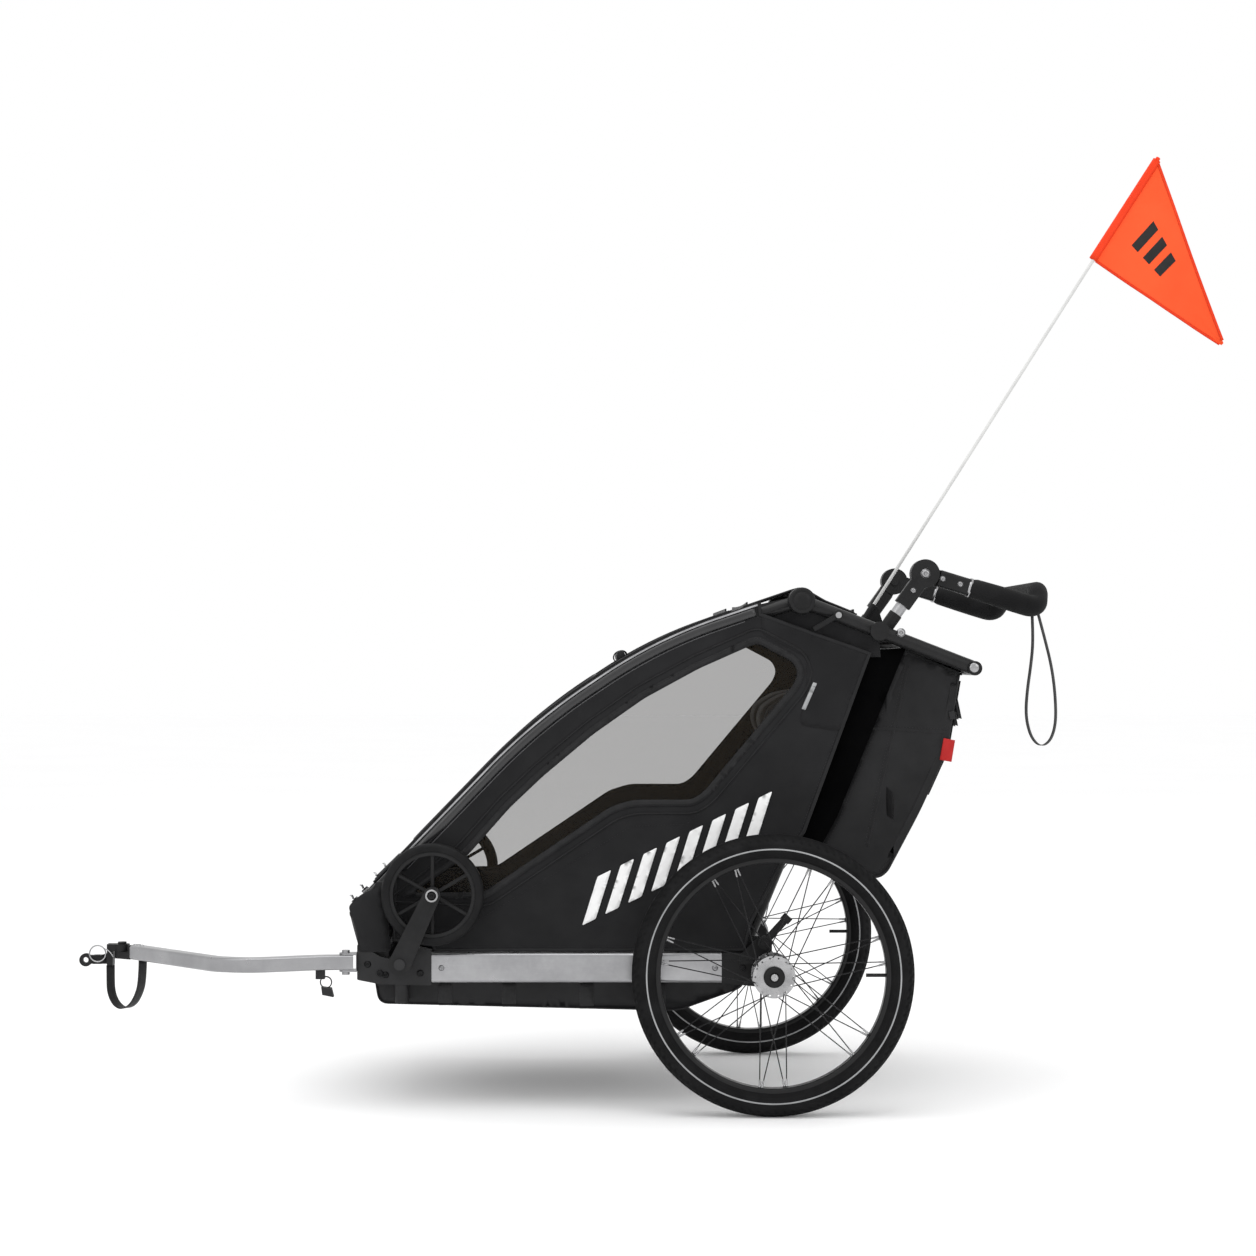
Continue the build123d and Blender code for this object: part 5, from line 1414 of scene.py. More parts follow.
    def build_top_cover(self) -> None:
        """Cloth over the rear of the roof."""
        line = [*ROOF.inset(2.0, 51, -46), (-58, 937), (-72, 930), (-100, 913.5), (-130, 901.5),
            (-159, 889.5)]
        line = resample(line, 8)
        cover = self.cover_sheet("top_cover_cloth", line, 253.5, None, 3.0, UPPER_CLOTH, wall=2.0)
        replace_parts(cover, "top_cover")
        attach(cover, "roof_frame")
        dots = np.array(line)
        far = gone_along(dots)
        out = Vector((0.3, 0, 0.95))
        edges = [sweep("edge", [self.on_line(dots, far, s, side * 253.0, 0) for s in np.arange(0, far[-1],
            8)], circle(2.2, 8)) for side in Side]
        edges += [sweep("hem", [self.on_line(dots, far, s, y, -3.0 * (1 - (y / 253.5) ** 2)) for y in
            range(-250, 251, 20)], strap(14, 2.8)) for s in (7.0, far[-1] - 7)]
        mount(join("top_cover_binding", edges), BINDING_TAPE, "roof_frame")
        rows = [stitches([self.on_line(dots, far, s, side * 240.0,
            1.2 - 3.0 * (1 - (240 / 253.5) ** 2)) for s in np.arange(8, far[-1] - 8, 8)],
            out) for side in Side]
        mount(join("top_cover_stitches", rows), THREAD, "roof_frame")

    def build_flaps(self) -> None:
        """Cloth under the gaps at both ends of the front cover."""
        for name, line in (("rear_gap_flap", ROOF.inset(15, 76, 34)),
                ("front_gap_flap", ROOF.inset(9, 744, 696))):
            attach(self.cover_sheet(name, line, 251, None, 3.0, CABIN_CLOTH), "roof_frame")

    def build_bumper(self) -> None:
        """Padded glossy nose with its reflective strip and two zip pulls."""
        a, b = Vector((750, 371)), Vector((431, 701))
        ahead = (a - b).normalized()
        inward = Vector((-ahead.y, ahead.x)) * -1
        if inward.y > 0:
            inward = -inward

        def corner(along: float, depth: float) -> Pair:
            p = a + ahead * along + inward * (depth + 1)
            return (p.x, p.y)

        outline = soften([corner(-31, 0.4), corner(12, 0.4), corner(18.5, 6), corner(18.5, 37),
            corner(13, 43.5), corner(-2, 43.5), corner(-7.6, 36), corner(-7.6, 5), corner(-31, 3.6)], 7,
            True, 4)
        ring = resample(outline, 7, True)
        middle = np.array(ring).mean(0)
        half, count = 255.4, 44
        points, faces = [], []
        for i in range(count + 1):
            y = -half + 2 * half * i / count
            tuck = min(1.0, 0.90 + 0.10 * sqrt(max(0.0, 1 - abs(y / half) ** 8)))
            quilt = 1 - 0.035 * exp(-((abs(y) % 85 - 42) / 5) ** 2)
            points += [at(*(middle + (np.array(p) - middle) * tuck * quilt), y) for p in ring]
        wide = len(ring)
        for i in range(count):
            n = i + 1
            faces += [[i * wide + k, i * wide + (k + 1) % wide, n * wide + (k + 1) % wide,
                n * wide + k] for k in range(wide)]
        faces += [list(range(wide))[::-1], list(range(count * wide, (count + 1) * wide))]
        pad = dress(solid("nose_bumper_pad", points, faces), GLOSS_VINYL)
        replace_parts(pad, "nose_bumper")
        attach(pad, "roof_frame")
        strip = sweep("nose_reflector", [at(*corner(19.2, 22), y) for y in range(-236, 237, 8)],
            strap(13, 1.2), across=Vector((inward.x, 0, inward.y)))
        mount(strip, REFLECTIVE, "roof_frame")
        pulls = []
        for side in Side:
            for s in (0.0, -26.0):
                x, z = corner(s, -1.6)
                pulls.append(block("slider", at(x, z, side * 236), (Vector((ahead.x, 0, ahead.y)), ACROSS,
                    Vector((inward.x, 0, inward.y))), (11, 7, 3.2), 1.2))
                pulls.append(sweep("pull", [at(x + 3 + 5 * t, z + 2 + 7 * sin(t * 2.2),
                    side * (238 + 5 * t)) for t in np.linspace(0, 1, 8)], strap(4, 1.4), across=AHEAD))
        mount(join("zip_pulls", pulls), STEEL, "roof_frame")

    def build_apron(self) -> None:
        """Cloth from the bumper down to the tub, round the front of the cabin."""
        rows, columns, points, faces = 12, 48, [], []
        side_line = [(757, 352), (752, 334), (745, 314), (741, 296), (735, 283), (727, 268), (719, 254)]
        dots = np.array(side_line)
        for i in range(rows + 1):
            t = i / rows * (len(dots) - 1)
            x, z = (float(np.interp(t, range(len(dots)), dots[:, k])) for k in (0, 1))
            for j in range(columns + 1):
                v = 2 * j / columns - 1
                y = 297 * v
                full = 5 * (1 - v * v) + 3 * noise(Vector((v * 4, z * 0.03, 1.2)))
                corner_x = max(0.0, abs(y) - 268) ** 2 / 60
                points.append(at(x + (full if i > 1 else 0) * (0.4 if z < 285 else 1) - corner_x *
                    (0 if z < 285 else 1), z, y if z > 285 else y * 0.905))
        faces = grid(rows, columns)
        apron = dress(thicken(solid("front_apron", points, faces), 1.6), CABIN_CLOTH)
        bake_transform(apron)

    def build_tube_details(self) -> None:
        """Knob caps, screws and silver end caps."""
        for side in Side:
            out = side.out
            cap = turned(f"knob_cap_{side.tag}", at(-56, 913, side * 302.4), out,
                [(23.2, 0), (22.6, 1.5), (18.6, 2.1), (17.8, 1.0), (15.6, 1.0), (14.8, 2.2), (8, 3.0),
                (0, 3.2)], 40)
            mount(cap, BLACK_PLASTIC, "roof_frame")
        heads = []
        for side in Side:
            out = side.out
            heads.append(screw("head", at(-235, 856, side * 281.2), out, 6.6, 3.6))
            heads.append(turned("cap", at(-366, 793, side * 268), side.out,
                [(8.8, 18.7), (8.8, 20.2), (7.4, 21.4), (0, 21.8)], 24))
        mount(join("roof_screws", heads), STEEL, "roof_frame")

    def build(self) -> None:
        """Build the roof."""
        self.build_front_cover()
        self.build_top_cover()
        self.build_flaps()
        self.build_bumper()
        self.build_apron()
        self.build_tube_details()
        repaint(BLACK_TUBE, "roof_tube_left", "roof_tube_right", "nose_crossbar", "top_frame")
        repaint(BLACK_PLASTIC, "knob_joints", "flag_socket", "stem_sockets", "lower_handle_joints",
            "release_levers")
        repaint(ALUMINIUM, "handle_stems")
        repaint(STEEL, "hinge_pins")


# --- luggage bag
@dataclass
class LuggageBag:
    """Bag behind the backrest, with its lid, seams, buckle and tag."""

    half: float = 249.0
    line: tuple[Pair, ...] = ((-241, 821.5), (-118, 520), (-83.5, 452), (-119, 403.5), (-202, 415.5),
        (-214, 425.5), (-272, 535), (-320, 641), (-344, 781))

    def crush(self, piece: Piece) -> Piece:
        """Let a piece ride on the roof frame, with a mesh of its own."""
        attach(piece, "roof_frame")
        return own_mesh(piece)

    def bulge(self, xa: float, z: float, edge: np.ndarray) -> float:
        """How far the side of the bag stands out at a point."""
        gap = float(np.linalg.norm(edge - (xa, z), axis=1).min())
        soft = noise(Vector((xa * 0.013, z * 0.011, 2.4)))
        crease = noise(Vector(((xa - 0.45 * z) * 0.05, z * 0.006, 9.1)))
        return (1 - exp(-gap / 30)) * (4.5 + 4.5 * soft + 2.8 * crease)

    def build_shell(self) -> None:
        """Bag of two soft sides and one long belt."""
        line = soften(self.line, 26)
        edge = np.array(resample(line, 10))
        parts = []
        for side in Side:
            flat, tris = fill(line, [], 13)
            parts.append(solid("flank", [at(x, z, side * (self.half - 1 + self.bulge(x, z, edge))) for x,
                z in flat], tris))
        run = resample(line, 12)
        columns, points, faces = 36, [], []
        for i, (x, z) in enumerate(run):
            a, b = Vector(run[max(0, i - 1)]), Vector(run[min(len(run) - 1, i + 1)])
            ahead = (b - a).normalized()
            for j in range(columns + 1):
                v = 2 * j / columns - 1
                full = (1 - v * v) * (2.5 + 3.5 * noise(Vector((i * 0.16, v * 2.2, 4.4))))
                points.append(at(x - ahead.y * -full, z + ahead.x * -full, v * (self.half - 1)))
        faces = grid(len(run) - 1, columns)
        parts.append(solid("belt", points, faces))
        shell = dress(thicken(join("luggage_bag_shell", parts), 1.8), BAG_CLOTH)
        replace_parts(shell, "luggage_bag")
        self.crush(shell)

    def build_seams(self) -> None:
        """Piping of the flanks, rim hem, pocket seam and stitches."""
        line = resample(soften(self.line, 26, False), 9)
        edge = np.array(line)
        cords, rows, creases = [], [], []
        for side in Side:
            cords.append(sweep("cord", [at(x, z, side * self.half) for x, z in line], circle(2.4, 10)))
            cords.append(sweep("rim", [at(-241 - 103 * t, 821.5 - 40.5 * t,
                side * (self.half - 0.5)) for t in np.linspace(0, 1, 14)], strap(9, 3.0), across=UP))
            rear = [at(x, z, side * (self.half + 0.9)) for x, z in grow(line, -6)[2:-2] if x < -216]
            cords.append(sweep("edge_band", rear, strap(13, 2.0), across=AHEAD))
            out = side.out

            def lay(a: Pair, b: Pair, lift: float) -> list[Vector]:
                return [at(x, z, side * (self.half - 1 + self.bulge(x, z, edge) + lift)) for x,
                    z in resample([a, b], 6)]

            creases.append(sweep("pocket", lay((-172, 684), (-328, 676), 1.0), strap(5, 1.6), across=UP))
            creases.append(sweep("dart", lay((-252, 796), (-178, 470), 1.0), strap(4, 1.4)))
            rows.append(stitches(lay((-172, 689), (-328, 681), 1.4), out))
            rows.append(stitches(lay((-246, 796), (-172, 470), 1.4), out))
            inner = [p for p in grow(resample(soften(self.line, 26, False), 9), -9)][2:-2]
            rows.append(stitches([at(x, z, side * (self.half - 1 + self.bulge(x, z, edge) + 1.2)) for x,
                z in inner], out))
        cords.append(sweep("rear_rim", [at(-344, 781, y) for y in range(-246, 247, 12)], strap(3, 12)))
        self.crush(dress(join("bag_piping", cords), BINDING_TAPE))
        self.crush(dress(join("bag_creases", creases), BAG_CLOTH))
        self.crush(dress(join("bag_stitches", rows), THREAD))

    def build_rear(self) -> None:
        """Rear pocket, reflective strips, straps, buckles and the blank tag."""
        rear = Vector((-0.97, 0, 0.2)).normalized()

        def at_rear(z: float, y: float, lift: float) -> Vector:
            x = float(np.interp(z, (425, 535, 641, 781), (-214, -272, -320, -344)))
            return at(x, z, y) + rear * lift * MM

        flat, tris = fill(soften([(-200, 468), (200, 468), (206, 668), (-206, 668)], 22, True), [], 14)
        points = []
        for y, z in flat:
            share = (1 - (y / 206) ** 6) * (1 - ((z - 568) / 100) ** 6)
            points.append(at_rear(z, y, 7 + 5.5 * max(0.0, share) * (1 + 0.35 * noise(Vector((y * 0.01,
                z * 0.02, 6))))))
        self.crush(dress(thicken(solid("rear_pocket", points, tris), 1.6), BAG_CLOTH))
        hem = [sweep("hem", [at_rear(668, y, 8.6) for y in range(-200, 201, 12)], strap(14, 1.8),
            across=UP)]
        self.crush(dress(join("pocket_hem", hem), BINDING_TAPE))
        strips = [sweep("strip", [at_rear(706, y, 8.2) for y in range(-190, 191, 10)], strap(20, 1.0),
            across=UP)]
        self.crush(dress(join("rear_reflector", strips), REFLECTIVE))
        bands, buckles = [], []
        for side in Side:
            y = side * 218
            bands.append(sweep("band", [at_rear(z, y, 8.2) for z in range(560, 776, 9)], strap(20, 1.4),
                across=ACROSS))
            axes = (ACROSS, Vector((0.2, 0, 0.97)), rear)
            buckles.append(block("buckle", at_rear(716, y, 11.5), axes, (30, 34, 6), 2.4))
            buckles.append(block("latch", at_rear(694, y, 11.5), axes, (22, 16, 5), 2.0))
            flank = side * (self.half + 3)
            buckles.append(block("slide", at(-331, 707, flank), (Vector((0.2, 0, 0.97)),
                Vector((1, 0, -0.2)), ACROSS), (15, 11, 5), 1.6))
        self.crush(dress(join("bag_bands", bands), WEBBING))
        self.crush(dress(join("bag_buckles", buckles), GREY_PLASTIC))
        run = [at(-312 - 21 * t, 646 - 4 * t, self.half + 4.6 + 1.2 * sin(4 * t)) for t in np.linspace(0, 1,
            9)]
        tag = sweep("side_tag", run, strap(40, 1.2), across=Vector((0.22, 0, 0.97)))
        self.crush(dress(tag, RED_TAG))

    def build_lid(self) -> None:
        """Flap with bound edges and a pull loop."""
        dots = np.array(resample([(-239.5, 826.5), (-280, 813.5), (-322, 801), (-350.5, 793.5)], 8))
        far = gone_along(dots)
        roof = Roof()
        lid = roof.cover_sheet("bag_flap", dots, 246.5, None, 2.2, BAG_CLOTH, wall=2.4)
        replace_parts(lid, "bag_lid")
        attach(lid, "bag_lid")
        ring = [(3, -244), (far[-1] - 3, -244), (far[-1] - 3, 244), (3, 244)]
        edge = [roof.on_line(dots, far, s, y, 0.3 - 2.2 * (1 - (y / 246.5) ** 2)) for s,
            y in resample(ring, 9, True)]
        loop = [roof.on_line(dots, far, 8 + 14 * sin(t), 14 * cos(t),
            3 + 5 * sin(t)) for t in np.linspace(0, pi, 12)]
        sleeve = sweep("sleeve", [at(-351, 790, y) for y in range(-244, 245, 12)], circle(6.2, 16))
        mount(join("flap_binding", [sweep("bind", edge, strap(9, 3.4), closed=True), sleeve]), BINDING_TAPE,
            "bag_lid")
        mount(sweep("flap_pull", loop, strap(12, 1.3)), WEBBING, "bag_lid")

    def build(self) -> None:
        """Build the bag."""
        self.build_shell()
        self.build_seams()
        self.build_rear()
        self.build_lid()


# --- seat
@dataclass
class Seat:
    """Two padded seats with their harnesses on the backrest."""

    foot: Pair = (38.0, 294.0)
    pivot: Pair = (-196.0, 858.7)
    face: tuple[Pair, ...] = ((26, 34), (60, 46), (300, 66), (350, 96), (376, 134), (404, 142), (440, 128),
        (490, 60))
    places: tuple[float, float] = (-95.0, 95.0)

    def up(self) -> Vector:
        """Direction up the backrest in the side view."""
        return Vector((self.pivot[0] - self.foot[0], self.pivot[1] - self.foot[1])).normalized()

    def spot(self, along: float, out: float, y: float) -> Vector:
        """Point at a distance up the backrest and out in front of it."""
        up = self.up()
        return at(self.foot[0] + up.x * along + up.y * out, self.foot[1] + up.y * along - up.x * out, y)

    def reach(self, along: float) -> float:
        """How far the padding stands out at a distance up the backrest."""
        return float(np.interp(along, [p[0] for p in self.face], [p[1] for p in self.face]))

    def out(self) -> Vector:
        """Direction out of the padding."""
        return (self.spot(0, 1, 0) - self.spot(0, 0, 0)).normalized()

    def build_backs(self) -> None:
        """Back cushions with head bolsters, and their sewn channels."""
        for number, y in enumerate(self.places, 1):
            pad = pillow(f"seat_back_pad_{number}", lambda u, v: self.spot(30 + 452 * u,
                self.reach(30 + 452 * u) - 6 + 5 * abs(2 * v - 1) ** 3, y + (2 * v - 1) * 90), lambda u,
                v: self.spot(30 + 452 * u, 10.5, y + (2 * v - 1) * 90), 40, 18, 3.4)
            plump(pad, 4.0, 7.0)
            origin, up = self.spot(0, 0, 0), (self.spot(1, 0, 0) - self.spot(0, 0, 0)).normalized()

            def seam(p: Vector) -> float:
                along = (p - origin).dot(up) / MM
                across = abs(p.y / MM - y)
                return min([abs(along - s) for s in (112, 176, 240, 322)] + [abs(across - 58)])

            press_seams(pad, seam, -self.out(), 5.5, 5.0)
            dress(pad, SEAT_CLOTH)
            pad.data.materials.append(SEAT_TRIM.build())
            for polygon in pad.data.polygons:
                along = (polygon.center - origin).dot(up) / MM
                if abs(polygon.center.y / MM - y) < 57 and 114 < along < 320:
                    polygon.material_index = 1
            if number == 1:
                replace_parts(pad, "seat_back")
            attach(pad, "backrest")
            rim = [self.spot(30 + 452 * u, 10.5 + 0.4 * (self.reach(30 + 452 * u) - 16.5),
                y + v * 90.6) for u, v in [(t, 1) for t in np.linspace(0.03, 0.97, 30)] + [(t,
                -1) for t in np.linspace(0.97, 0.03, 30)]]
            mount(sweep(f"seat_back_piping_{number}", rim, circle(2.2, 8), closed=True), BINDING_TAPE,
                "backrest")

    def build_bases(self) -> None:
        """Seat cushions in the tub."""
        for number, y in enumerate((-117.0, 117.0), 1):
            pad = pillow(f"seat_base_pad_{number}", lambda u, v: at(100 + 320 * u,
                240 - 6 * (1 - u) + 5 * sin(pi * u), y + (2 * v - 1) * 111), lambda u,
                v: at(100 + 320 * u, float(np.interp(100 + 320 * u, (92, 142, 200, 432),
                (207, 192, 184, 189))) + 2, y + (2 * v - 1) * 111), 24, 18, 4.0)
            plump(pad, 4.0, 5.0)
            press_seams(pad, lambda p: min(abs((p.x - AXLE) / MM - s) for s in (190, 265, 340)),
                Vector((0, 0, -1)), 5, 5)
            dress(pad, SEAT_CLOTH)
            if number == 1:
                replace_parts(pad, "seat_base")
            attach(pad, "chassis")

    def build_harness(self) -> None:
        """Shoulder straps with pads, hip belts, buckles and crotch straps."""
        bands, pads, hard, red = [], [], [], []
        axes = (ACROSS, (self.spot(1, 0, 0) - self.spot(0, 0, 0)), self.out())
        for y in self.places:
            for shift in (-34.0, 34.0):
                run = [self.spot(a, self.reach(a) + 3.5 + (2.0 if a > 200 else 0),
                    y + shift * (0.35 + 0.65 * min(1, (a - 118) / 90))) for a in np.linspace(120, 312, 26)]
                bands.append(sweep("strap", run, strap(22, 1.4), across=ACROSS))
                pads.append(sweep("pad", run[13:24], strap(40, 9), across=ACROSS,
                    scale=lambda t: (0.82 + 0.18 * sin(pi * t) ** 0.5, 0.55 + 0.45 * sin(pi * t) ** 0.5)))
                hip = [self.spot(104 - 16 * t, self.reach(100) + 3.0 + 2.0 * sin(pi * t),
                    y + shift * (0.35 + 1.25 * t)) for t in np.linspace(0, 1, 12)]
                bands.append(sweep("hip", hip, strap(22, 1.4), across=axes[1]))
                hard.append(block("slide", self.spot(178, self.reach(178) + 6.5, y + shift * 0.78), axes,
                    (32, 16, 4), 1.5))
            crotch = [self.spot(104, self.reach(104) + 6, y), self.spot(78, self.reach(78) + 16, y),
                self.spot(56, self.reach(56) + 26, y), self.spot(38, self.reach(44) + 34, y),
                self.spot(20, 78, y)]
            bands.append(sweep("crotch", crotch, strap(24, 1.5), across=ACROSS))
            hard.append(block("buckle", self.spot(110, self.reach(110) + 8.5, y), axes, (44, 46, 11), 4.5))
            red.append(block("button", self.spot(110, self.reach(110) + 13.6, y), axes, (20, 20, 3), 1.4))
        made = dress(join("harness_straps", bands), WEBBING)
        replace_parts(made, "harness")
        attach(made, "backrest")
        for name, parts, finish in (("shoulder_pads", pads, SEAT_TRIM),
                ("harness_buckles", hard, BLACK_PLASTIC), ("harness_buttons", red, BUCKLE_RED)):
            piece = dress(join(name, parts), finish)
            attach(piece, "backrest")

    def build(self) -> None:
        """Build the seats."""
        self.build_backs()
        self.build_bases()
        self.build_harness()
        repaint(BLACK_TUBE, "backrest_frame")


# --- free straps
@dataclass
class FreeStrap:
    """Flat strap that hangs free along its own smooth line."""

    name: str
    node: str
    body: str
    points: tuple[Rgb, ...]
    width: float
    thickness: float
    length: float
    across: Rgb

    def line(self) -> list[Vector]:
        """Smooth line with the route's points as its control points.

        Returns:
            Points read from the curve.
        """
        data = bpy.data.curves.new("route", "CURVE")
        data.dimensions = "3D"
        spline = data.splines.new("NURBS")
        spline.points.add(len(self.points) - 1)
        for point, (xa, y, z) in zip(spline.points, self.points):
            point.co = (*at(xa, z, y), 1)
        spline.order_u = 3
        spline.use_endpoint_u = True
        spline.resolution_u = 8
        curve = place("route", data)
        bpy.context.view_layer.update()
        mesh = bpy.data.meshes.new_from_object(curve)
        made = [v.co.copy() for v in mesh.vertices]
        bpy.data.objects.remove(curve)
        bpy.data.meshes.remove(mesh)
        return made

    def build(self) -> Piece:
        """Returns:
            The strap.
        """
        line = self.line()
        made = dress(sweep(self.name, line, strap(self.width, self.thickness), across=Vector(self.across)),
            WEBBING)
        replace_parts(made, self.node)
        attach(made, self.body)
        return made


# --- push handle
@dataclass
class PushHandle:
    """Foam grip, joint screws and the wrist strap."""

    pivot: Pair = (-282.5, 963.0)
    arm_end: Pair = (-486.0, 900.6)
    crossbar: Pair = (-494.0, 932.0)
    stem_y: float = 242.0
    strap_points: tuple[Rgb, ...] = ((-478, 239, 889), (-480, 240, 844), (-476, 240, 800), (-469, 240, 752),
        (-466, 240, 708), (-473, 240, 674), (-485, 239, 655), (-500, 237, 651), (-514, 236, 664),
        (-522, 235, 694), (-521, 235, 738), (-516, 235, 784), (-506, 235, 830), (-490, 235, 889))

    def route(self) -> list[Vector]:
        """Middle line of the grip from the left arm over the crossbar to the right arm."""
        run = (Vector(self.arm_end) - Vector(self.pivot)).normalized()
        start = Vector(self.pivot) + run * 86
        left = [(start.x, self.stem_y, start.y), (*(self.arm_end[0],), self.stem_y, self.arm_end[1]),
            (self.crossbar[0], self.stem_y - 30, self.crossbar[1])]
        corners = [Vector(p) for p in left] + [Vector((x, -y, z)) for x, y, z in reversed(left)]
        made = [corners[0]]
        for a, b, c in zip(corners, corners[1:], corners[2:]):
            cut = min(24.0, 0.48 * (a - b).length, 0.48 * (c - b).length)
            p, q = b.lerp(a, cut / (a - b).length), b.lerp(c, cut / (c - b).length)
            made += [p * (1 - t) ** 2 + b * 2 * t * (1 - t) + q * t * t for t in np.linspace(0, 1, 9)]
        made.append(corners[-1])
        fine = []
        for a, b in zip(made, made[1:]):
            count = max(1, int((b - a).length / 9))
            fine += [a.lerp(b, i / count) for i in range(count)]
        return [at(p.x, p.z, p.y) for p in (*fine, made[-1])]

    def build_grip(self) -> None:
        """Foam grip that swells where the hand lies."""
        line = self.route()
        grip = sweep("handle_foam", line, circle(18.0, 22), scale=lambda t: ((1.0 + 0.10 * sin(min(1.0,
            min(t, 1 - t) / 0.2) * pi)) * (0.86 if min(t, 1 - t) < 0.004 else 1),
            1.0 + 0.14 * sin(min(1.0, min(t, 1 - t) / 0.2) * pi)))
        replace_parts(dress(grip, GRIP_FOAM), "handle_grip")
        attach(grip, "push_handle")
        collars = []
        for end, after in ((line[0], line[1]), (line[-1], line[-2])):
            collars.append(turned("collar", end, (after - end), [(13.2, -5), (16.4, -4.4), (17.4, -2),
                (17.4, 1.5), (13, 2)], 28))
        mount(join("grip_collars", collars), STEEL, "push_handle")

    def build_screws(self) -> None:
        """Silver screws of the handle joints."""
        upper, lower = [], []
        for side in Side:
            out = side.out
            run = (Vector(self.arm_end) - Vector(self.pivot)).normalized()
            for distance in (33.0, 66.0):
                spot = Vector(self.pivot) + run * distance
                upper.append(screw("head", at(spot.x, spot.y, side * (self.stem_y + 14)), out, 4.2, 2.4))
            lower.append(screw("pivot", at(*self.pivot, side * (self.stem_y + 14)), out, 7.0, 3.0))
            foot = Vector((-213, 866))
            spot = Vector(self.pivot).lerp(foot, 38 / (foot - Vector(self.pivot)).length)
            lower.append(screw("head", at(spot.x, spot.y, side * (self.stem_y + 14)), out, 4.2, 2.4))
        mount(join("upper_joint_screws", upper), STEEL, "push_handle")
        mount(join("lower_joint_screws", lower), STEEL, "roof_frame")

    def build(self) -> None:
        """Build the handle."""
        self.build_grip()
        self.build_screws()
        repaint(BLACK_PLASTIC, "upper_handle_joints")
        repaint(BLACK_TUBE, "handle_tube")
        FreeStrap("wrist_ribbon", "wrist_strap", "push_handle", self.strap_points, 10.0, 1.2, 0.49,
            (0.62, 0.78, 0.05)).build()


# --- stroller wheels
@dataclass
class StrollerWheel:
    """Small stowed wheel with its leg, axle screw and hub rings."""

    side: Side
    middle: Pair = (605.0, 388.0)
    leg_y: float = 333.0
    leg_pivot: Pair = (662.0, 266.0)

    def build(self) -> None:
        """Build the rings and screws, and finish the CAD parts."""
        tag, out = self.side.tag, self.side.out
        face = at(*self.middle, self.side * (self.leg_y + 6))
        ring = turned(f"axle_ring_{tag}", face, out, [(11.5, -0.3), (11.5, 1.2), (10.4, 1.9), (8.6, 1.9),
            (8.0, 1.2)], 36)
        mount(ring, STEEL, f"stroller_leg_{tag}")
        mount(screw(f"axle_screw_{tag}", face, out, 6.4, 3.0), DARK_STEEL, f"stroller_leg_{tag}")
        pivot = at(*self.leg_pivot, self.side * (self.leg_y + 6))
        mount(screw(f"leg_pivot_screw_{tag}", pivot, out, 7.0, 3.2), DARK_STEEL, f"stroller_leg_{tag}")
        parts = []
        for face_side in (1, -1):
            for r in (90.4, 86.0, 82.0):
                parts.append(turned("line", at(*self.middle, self.side * 313), out * face_side,
                    [(r - 0.7, 9.6 - (r - 82) * 0.35), (r, 10.8 - (r - 82) * 0.35),
                    (r + 0.7, 9.6 - (r - 82) * 0.35)], 90))
        mount(join(f"small_tyre_lines_{tag}", parts), SOFT_RUBBER, f"stroller_wheel_{tag}")
        repaint(SOFT_RUBBER, f"stroller_tyre_{tag}")
        repaint(BLACK_PLASTIC, f"stroller_wheel_{tag}", f"stroller_leg_{tag}")


# --- tow arm
@dataclass
class TowArm:
    """Tow arm with its hitch, rivets, pin and safety strap."""

    strap_points: tuple[Rgb, ...] = ((1216, 124, 239.5), (1216, 124, 214), (1215, 125, 190),
        (1206, 128, 169), (1190, 134, 159), (1172, 141, 167), (1159, 148, 188), (1151, 157, 214),
        (1150, 158, 252.6))

    def build_hardware(self) -> None:
        """Rivets, clevis bolt heads and the spring clip of the hitch."""
        heads = []
        for xa, y in ((1152.0, 158.0), (1166.0, 145.0)):
            heads.append(screw("rivet", at(xa, 279, y), UP, 4.0, 2.0))
        heads.append(screw("bolt", at(761, 279, 301), UP, 6.0, 3.0))
        mount(join("arm_rivets", heads), STEEL, "tow_arm")
        ring = [at(1238 + 15 * cos(a), 262 + 15 * sin(a), 135) for a in np.linspace(0, 2 * pi, 28)[:-1]]
        clip = sweep("clip_ring", ring, circle(1.3, 8), closed=True)
        leash = sweep("leash", [at(1238 - 15 * cos(0.6) - 18 * t, 262 + 15 * sin(0.6) - 14 * t * t,
            135 + 6 * t) for t in np.linspace(0, 1, 10)], circle(1.1, 8))
        mount(join("hitch_clip", [clip, leash]), STEEL, "hitch_block")

    def build(self) -> None:
        """Build the arm."""
        self.build_hardware()
        FreeStrap("safety_webbing", "safety_strap", "tow_arm", self.strap_points, 20.0, 1.8, 0.20,
            (0.62, 0.78, 0.0)).build()
        repaint(ALUMINIUM, "tow_arm")
        repaint(BLACK_PLASTIC, "hitch_socket", "hitch_block", "hitch_bracket")
        repaint(WEBBING, "arm_tether")


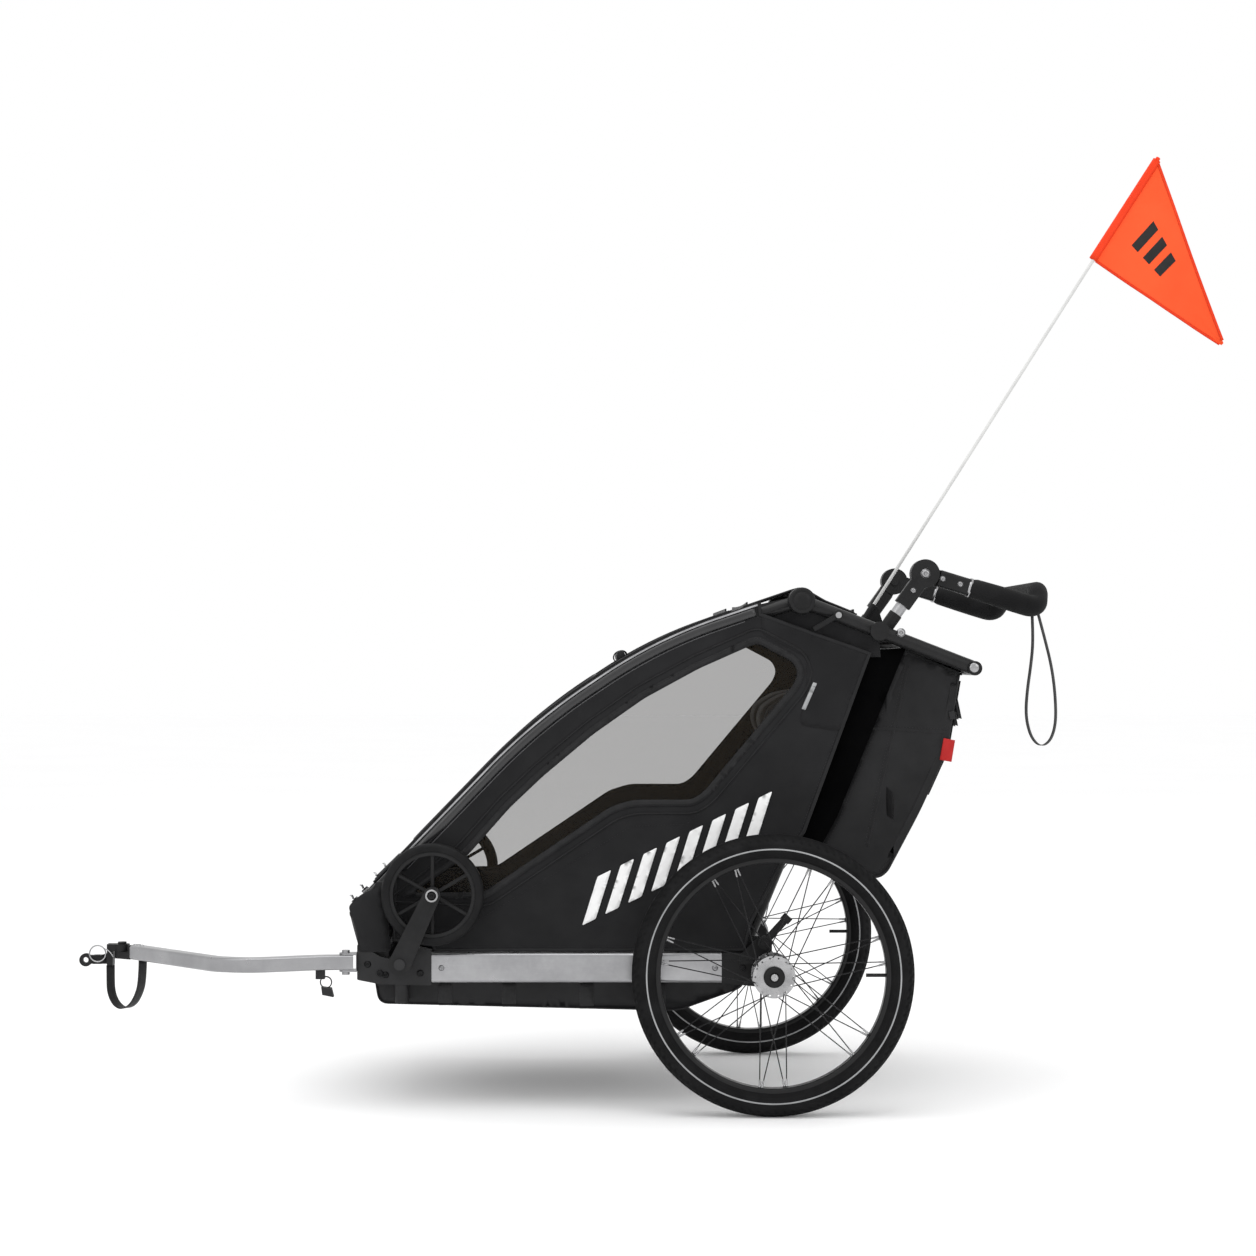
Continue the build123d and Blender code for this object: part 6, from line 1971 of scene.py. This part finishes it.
# --- flag
@dataclass
class SafetyFlag:
    """Pennant sewn to a sleeve on the pole."""

    top: Pair = (-724.0, 1731.0)
    low: Pair = (-606.0, 1548.0)
    tip: Pair = (-848.0, 1387.0)
    y: float = 150.0

    def cloth(self, u: float, v: float, lift: float = 0.0) -> Vector:
        """Point of the pennant.

        Args:
            u: Share of the way from the sleeve to the tip.
            v: Share of the way from its lower to its upper corner.
            lift: How far off the cloth, towards the left.

        Returns:
            The point.
        """
        edge = Vector(self.low).lerp(Vector(self.top), v)
        point = edge.lerp(Vector(self.tip), u)
        bow = 5.0 * sin(pi * u) * (1 - v)
        wave = 5.5 * u * sin(5.2 * u + 2.0 * v) + 1.5 * noise(Vector((u * 5, v * 4, 0.5)))
        return at(point.x - bow * 0.55, point.y - bow * 0.83, self.y + wave * min(1, u * 4) + lift)

    def build(self) -> None:
        """Build the pennant, its hem, its sleeve and its mark."""
        rows, columns = 40, 26
        points, faces = [], []
        for i in range(rows + 1):
            for j in range(columns + 1):
                points.append(self.cloth(i / rows * 0.985, j / columns))
        faces = grid(rows, columns)
        cloth = dress(solid("pennant", points, faces), FLAG_CLOTH)
        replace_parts(cloth, "flag")
        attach(cloth, "flag")
        hems = []
        for v in (0.0, 1.0):
            hems.append(sweep("hem", [self.cloth(u, v) for u in np.linspace(0.02, 0.97, 40)],
                strap(1.2, 5.0), across=ACROSS))
        hem = dress(join("pennant_hem", hems), FLAG_SLEEVE)
        run = [at(*Vector(self.low).lerp(Vector(self.top), v), self.y) for v in np.linspace(-0.005, 1.0,
            18)]
        sleeve = sweep("pennant_sleeve", run, strap(15, 8.4), across=Vector((-0.84, 0, -0.54)))
        dress(sleeve, FLAG_SLEEVE)
        marks = []
        for face in (1, -1):
            for begin, wide_u in ((0.17, 0.055), (0.27, 0.055), (0.37, 0.055)):
                flat, tris = fill([(begin, 0.33), (begin + wide_u, 0.33), (begin + wide_u, 0.68),
                    (begin, 0.68)], [], 0.025)
                marks.append(solid("bar", [self.cloth(u + 0.10 * (v - 0.5), v, face * 0.5) for u,
                    v in flat], tris))
        mark = dress(join("pennant_bars", marks), DARK_PRINT)
        cap = turned("pole_cap", at(*self.top, self.y), Vector((-118, 0, 183)),
            [(3.6, -4), (4.4, 0), (4.0, 5), (0, 6.5)], 20)
        dress(cap, FLAG_SLEEVE)
        for piece in (hem, sleeve, mark, cap):
            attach(piece, "flag")
        repaint(POLE_WHITE, "flag_pole")


# --- studio
@dataclass
class Studio:
    """Floor, soft light and the camera."""

    eye: Rgb = (306.0, 814.0, 4860.0)
    lens: float = 73.0
    shift: float = 0.0223

    def light(self, name: str, spot: Rgb, aim: Rgb, size: float, power: float) -> None:
        """Add a soft rectangular light.

        Args:
            name: Name of the light.
            spot: Where it hangs.
            aim: What it points at.
            size: Length of its side.
            power: Watts.
        """
        data = bpy.data.lights.new(name, "AREA")
        data.size = size
        data.energy = power
        lamp = place(name, data)
        lamp.location = spot
        lamp.rotation_mode = "QUATERNION"
        lamp.rotation_quaternion = (Vector(aim) - Vector(spot)).to_track_quat("-Z", "Y")

    def floor_paint(self) -> bpy.types.Material:
        """Pale matt floor paint."""
        recipe = Recipe("pale_floor")
        colour = recipe.mix(recipe.noise(900, 2), (0.955, 0.955, 0.957, 1), (0.985, 0.985, 0.987, 1))
        recipe.feed(recipe.shader.inputs["Base Color"], colour)
        recipe.shader.inputs["Roughness"].default_value = 0.9
        recipe.shader.inputs["Specular IOR Level"].default_value = 0.1
        recipe.shader.inputs["Emission Color"].default_value = (1, 1, 1, 1)
        recipe.shader.inputs["Emission Strength"].default_value = 0.025
        return recipe.material

    def build(self) -> None:
        """Build the studio."""
        world = bpy.data.worlds.new("soft_room")
        world.use_nodes = True
        world.node_tree.nodes["Background"].inputs["Color"].default_value = (1, 1, 1, 1)
        world.node_tree.nodes["Background"].inputs["Strength"].default_value = 1.0
        bpy.context.scene.world = world
        bpy.context.scene.view_settings.view_transform = "Standard"
        ground = solid("floor", [Vector((x, y, 0)) for x, y in ((-30, -30), (30, -30), (30, 30),
            (-30, 30))], [[0, 1, 2, 3]])
        ground.data.materials.append(self.floor_paint())
        self.light("overhead", (0.2, 0.8, 3.6), (0, 0, 0.4), 3.2, 42)
        self.light("front_left", (2.6, 3.4, 2.2), (0.1, 0.2, 0.6), 1.8, 18)
        self.light("rear_left", (-2.8, 2.6, 2.4), (-0.3, 0.2, 0.6), 1.6, 15)
        data = bpy.data.cameras.new("camera")
        data.lens, data.sensor_width = self.lens, 36
        data.shift_x = data.shift_y = self.shift
        camera = place("camera", data)
        camera.location = at(*self.eye)
        camera.rotation_euler = (pi / 2, 0, pi)
        bpy.context.scene.camera = camera


def main() -> None:
    """Build every part of the trailer and the studio."""
    logging.basicConfig(level=logging.INFO, format="%(name)s: %(message)s")
    parts = [Studio(), *(RoadWheel(side) for side in Side), Chassis(), *(CabinSide(side) for side in Side),
        Roof(), LuggageBag(), Seat(), PushHandle(), *(StrollerWheel(side) for side in Side), TowArm(),
        SafetyFlag()]
    for part in parts:
        before = set(bpy.data.objects)
        part.build()
        made = sorted(o.name for o in set(bpy.data.objects) - before)
        LOG.info("%s built: %s", type(part).__name__, ", ".join(made))


if __name__ == "__main__":
    main()
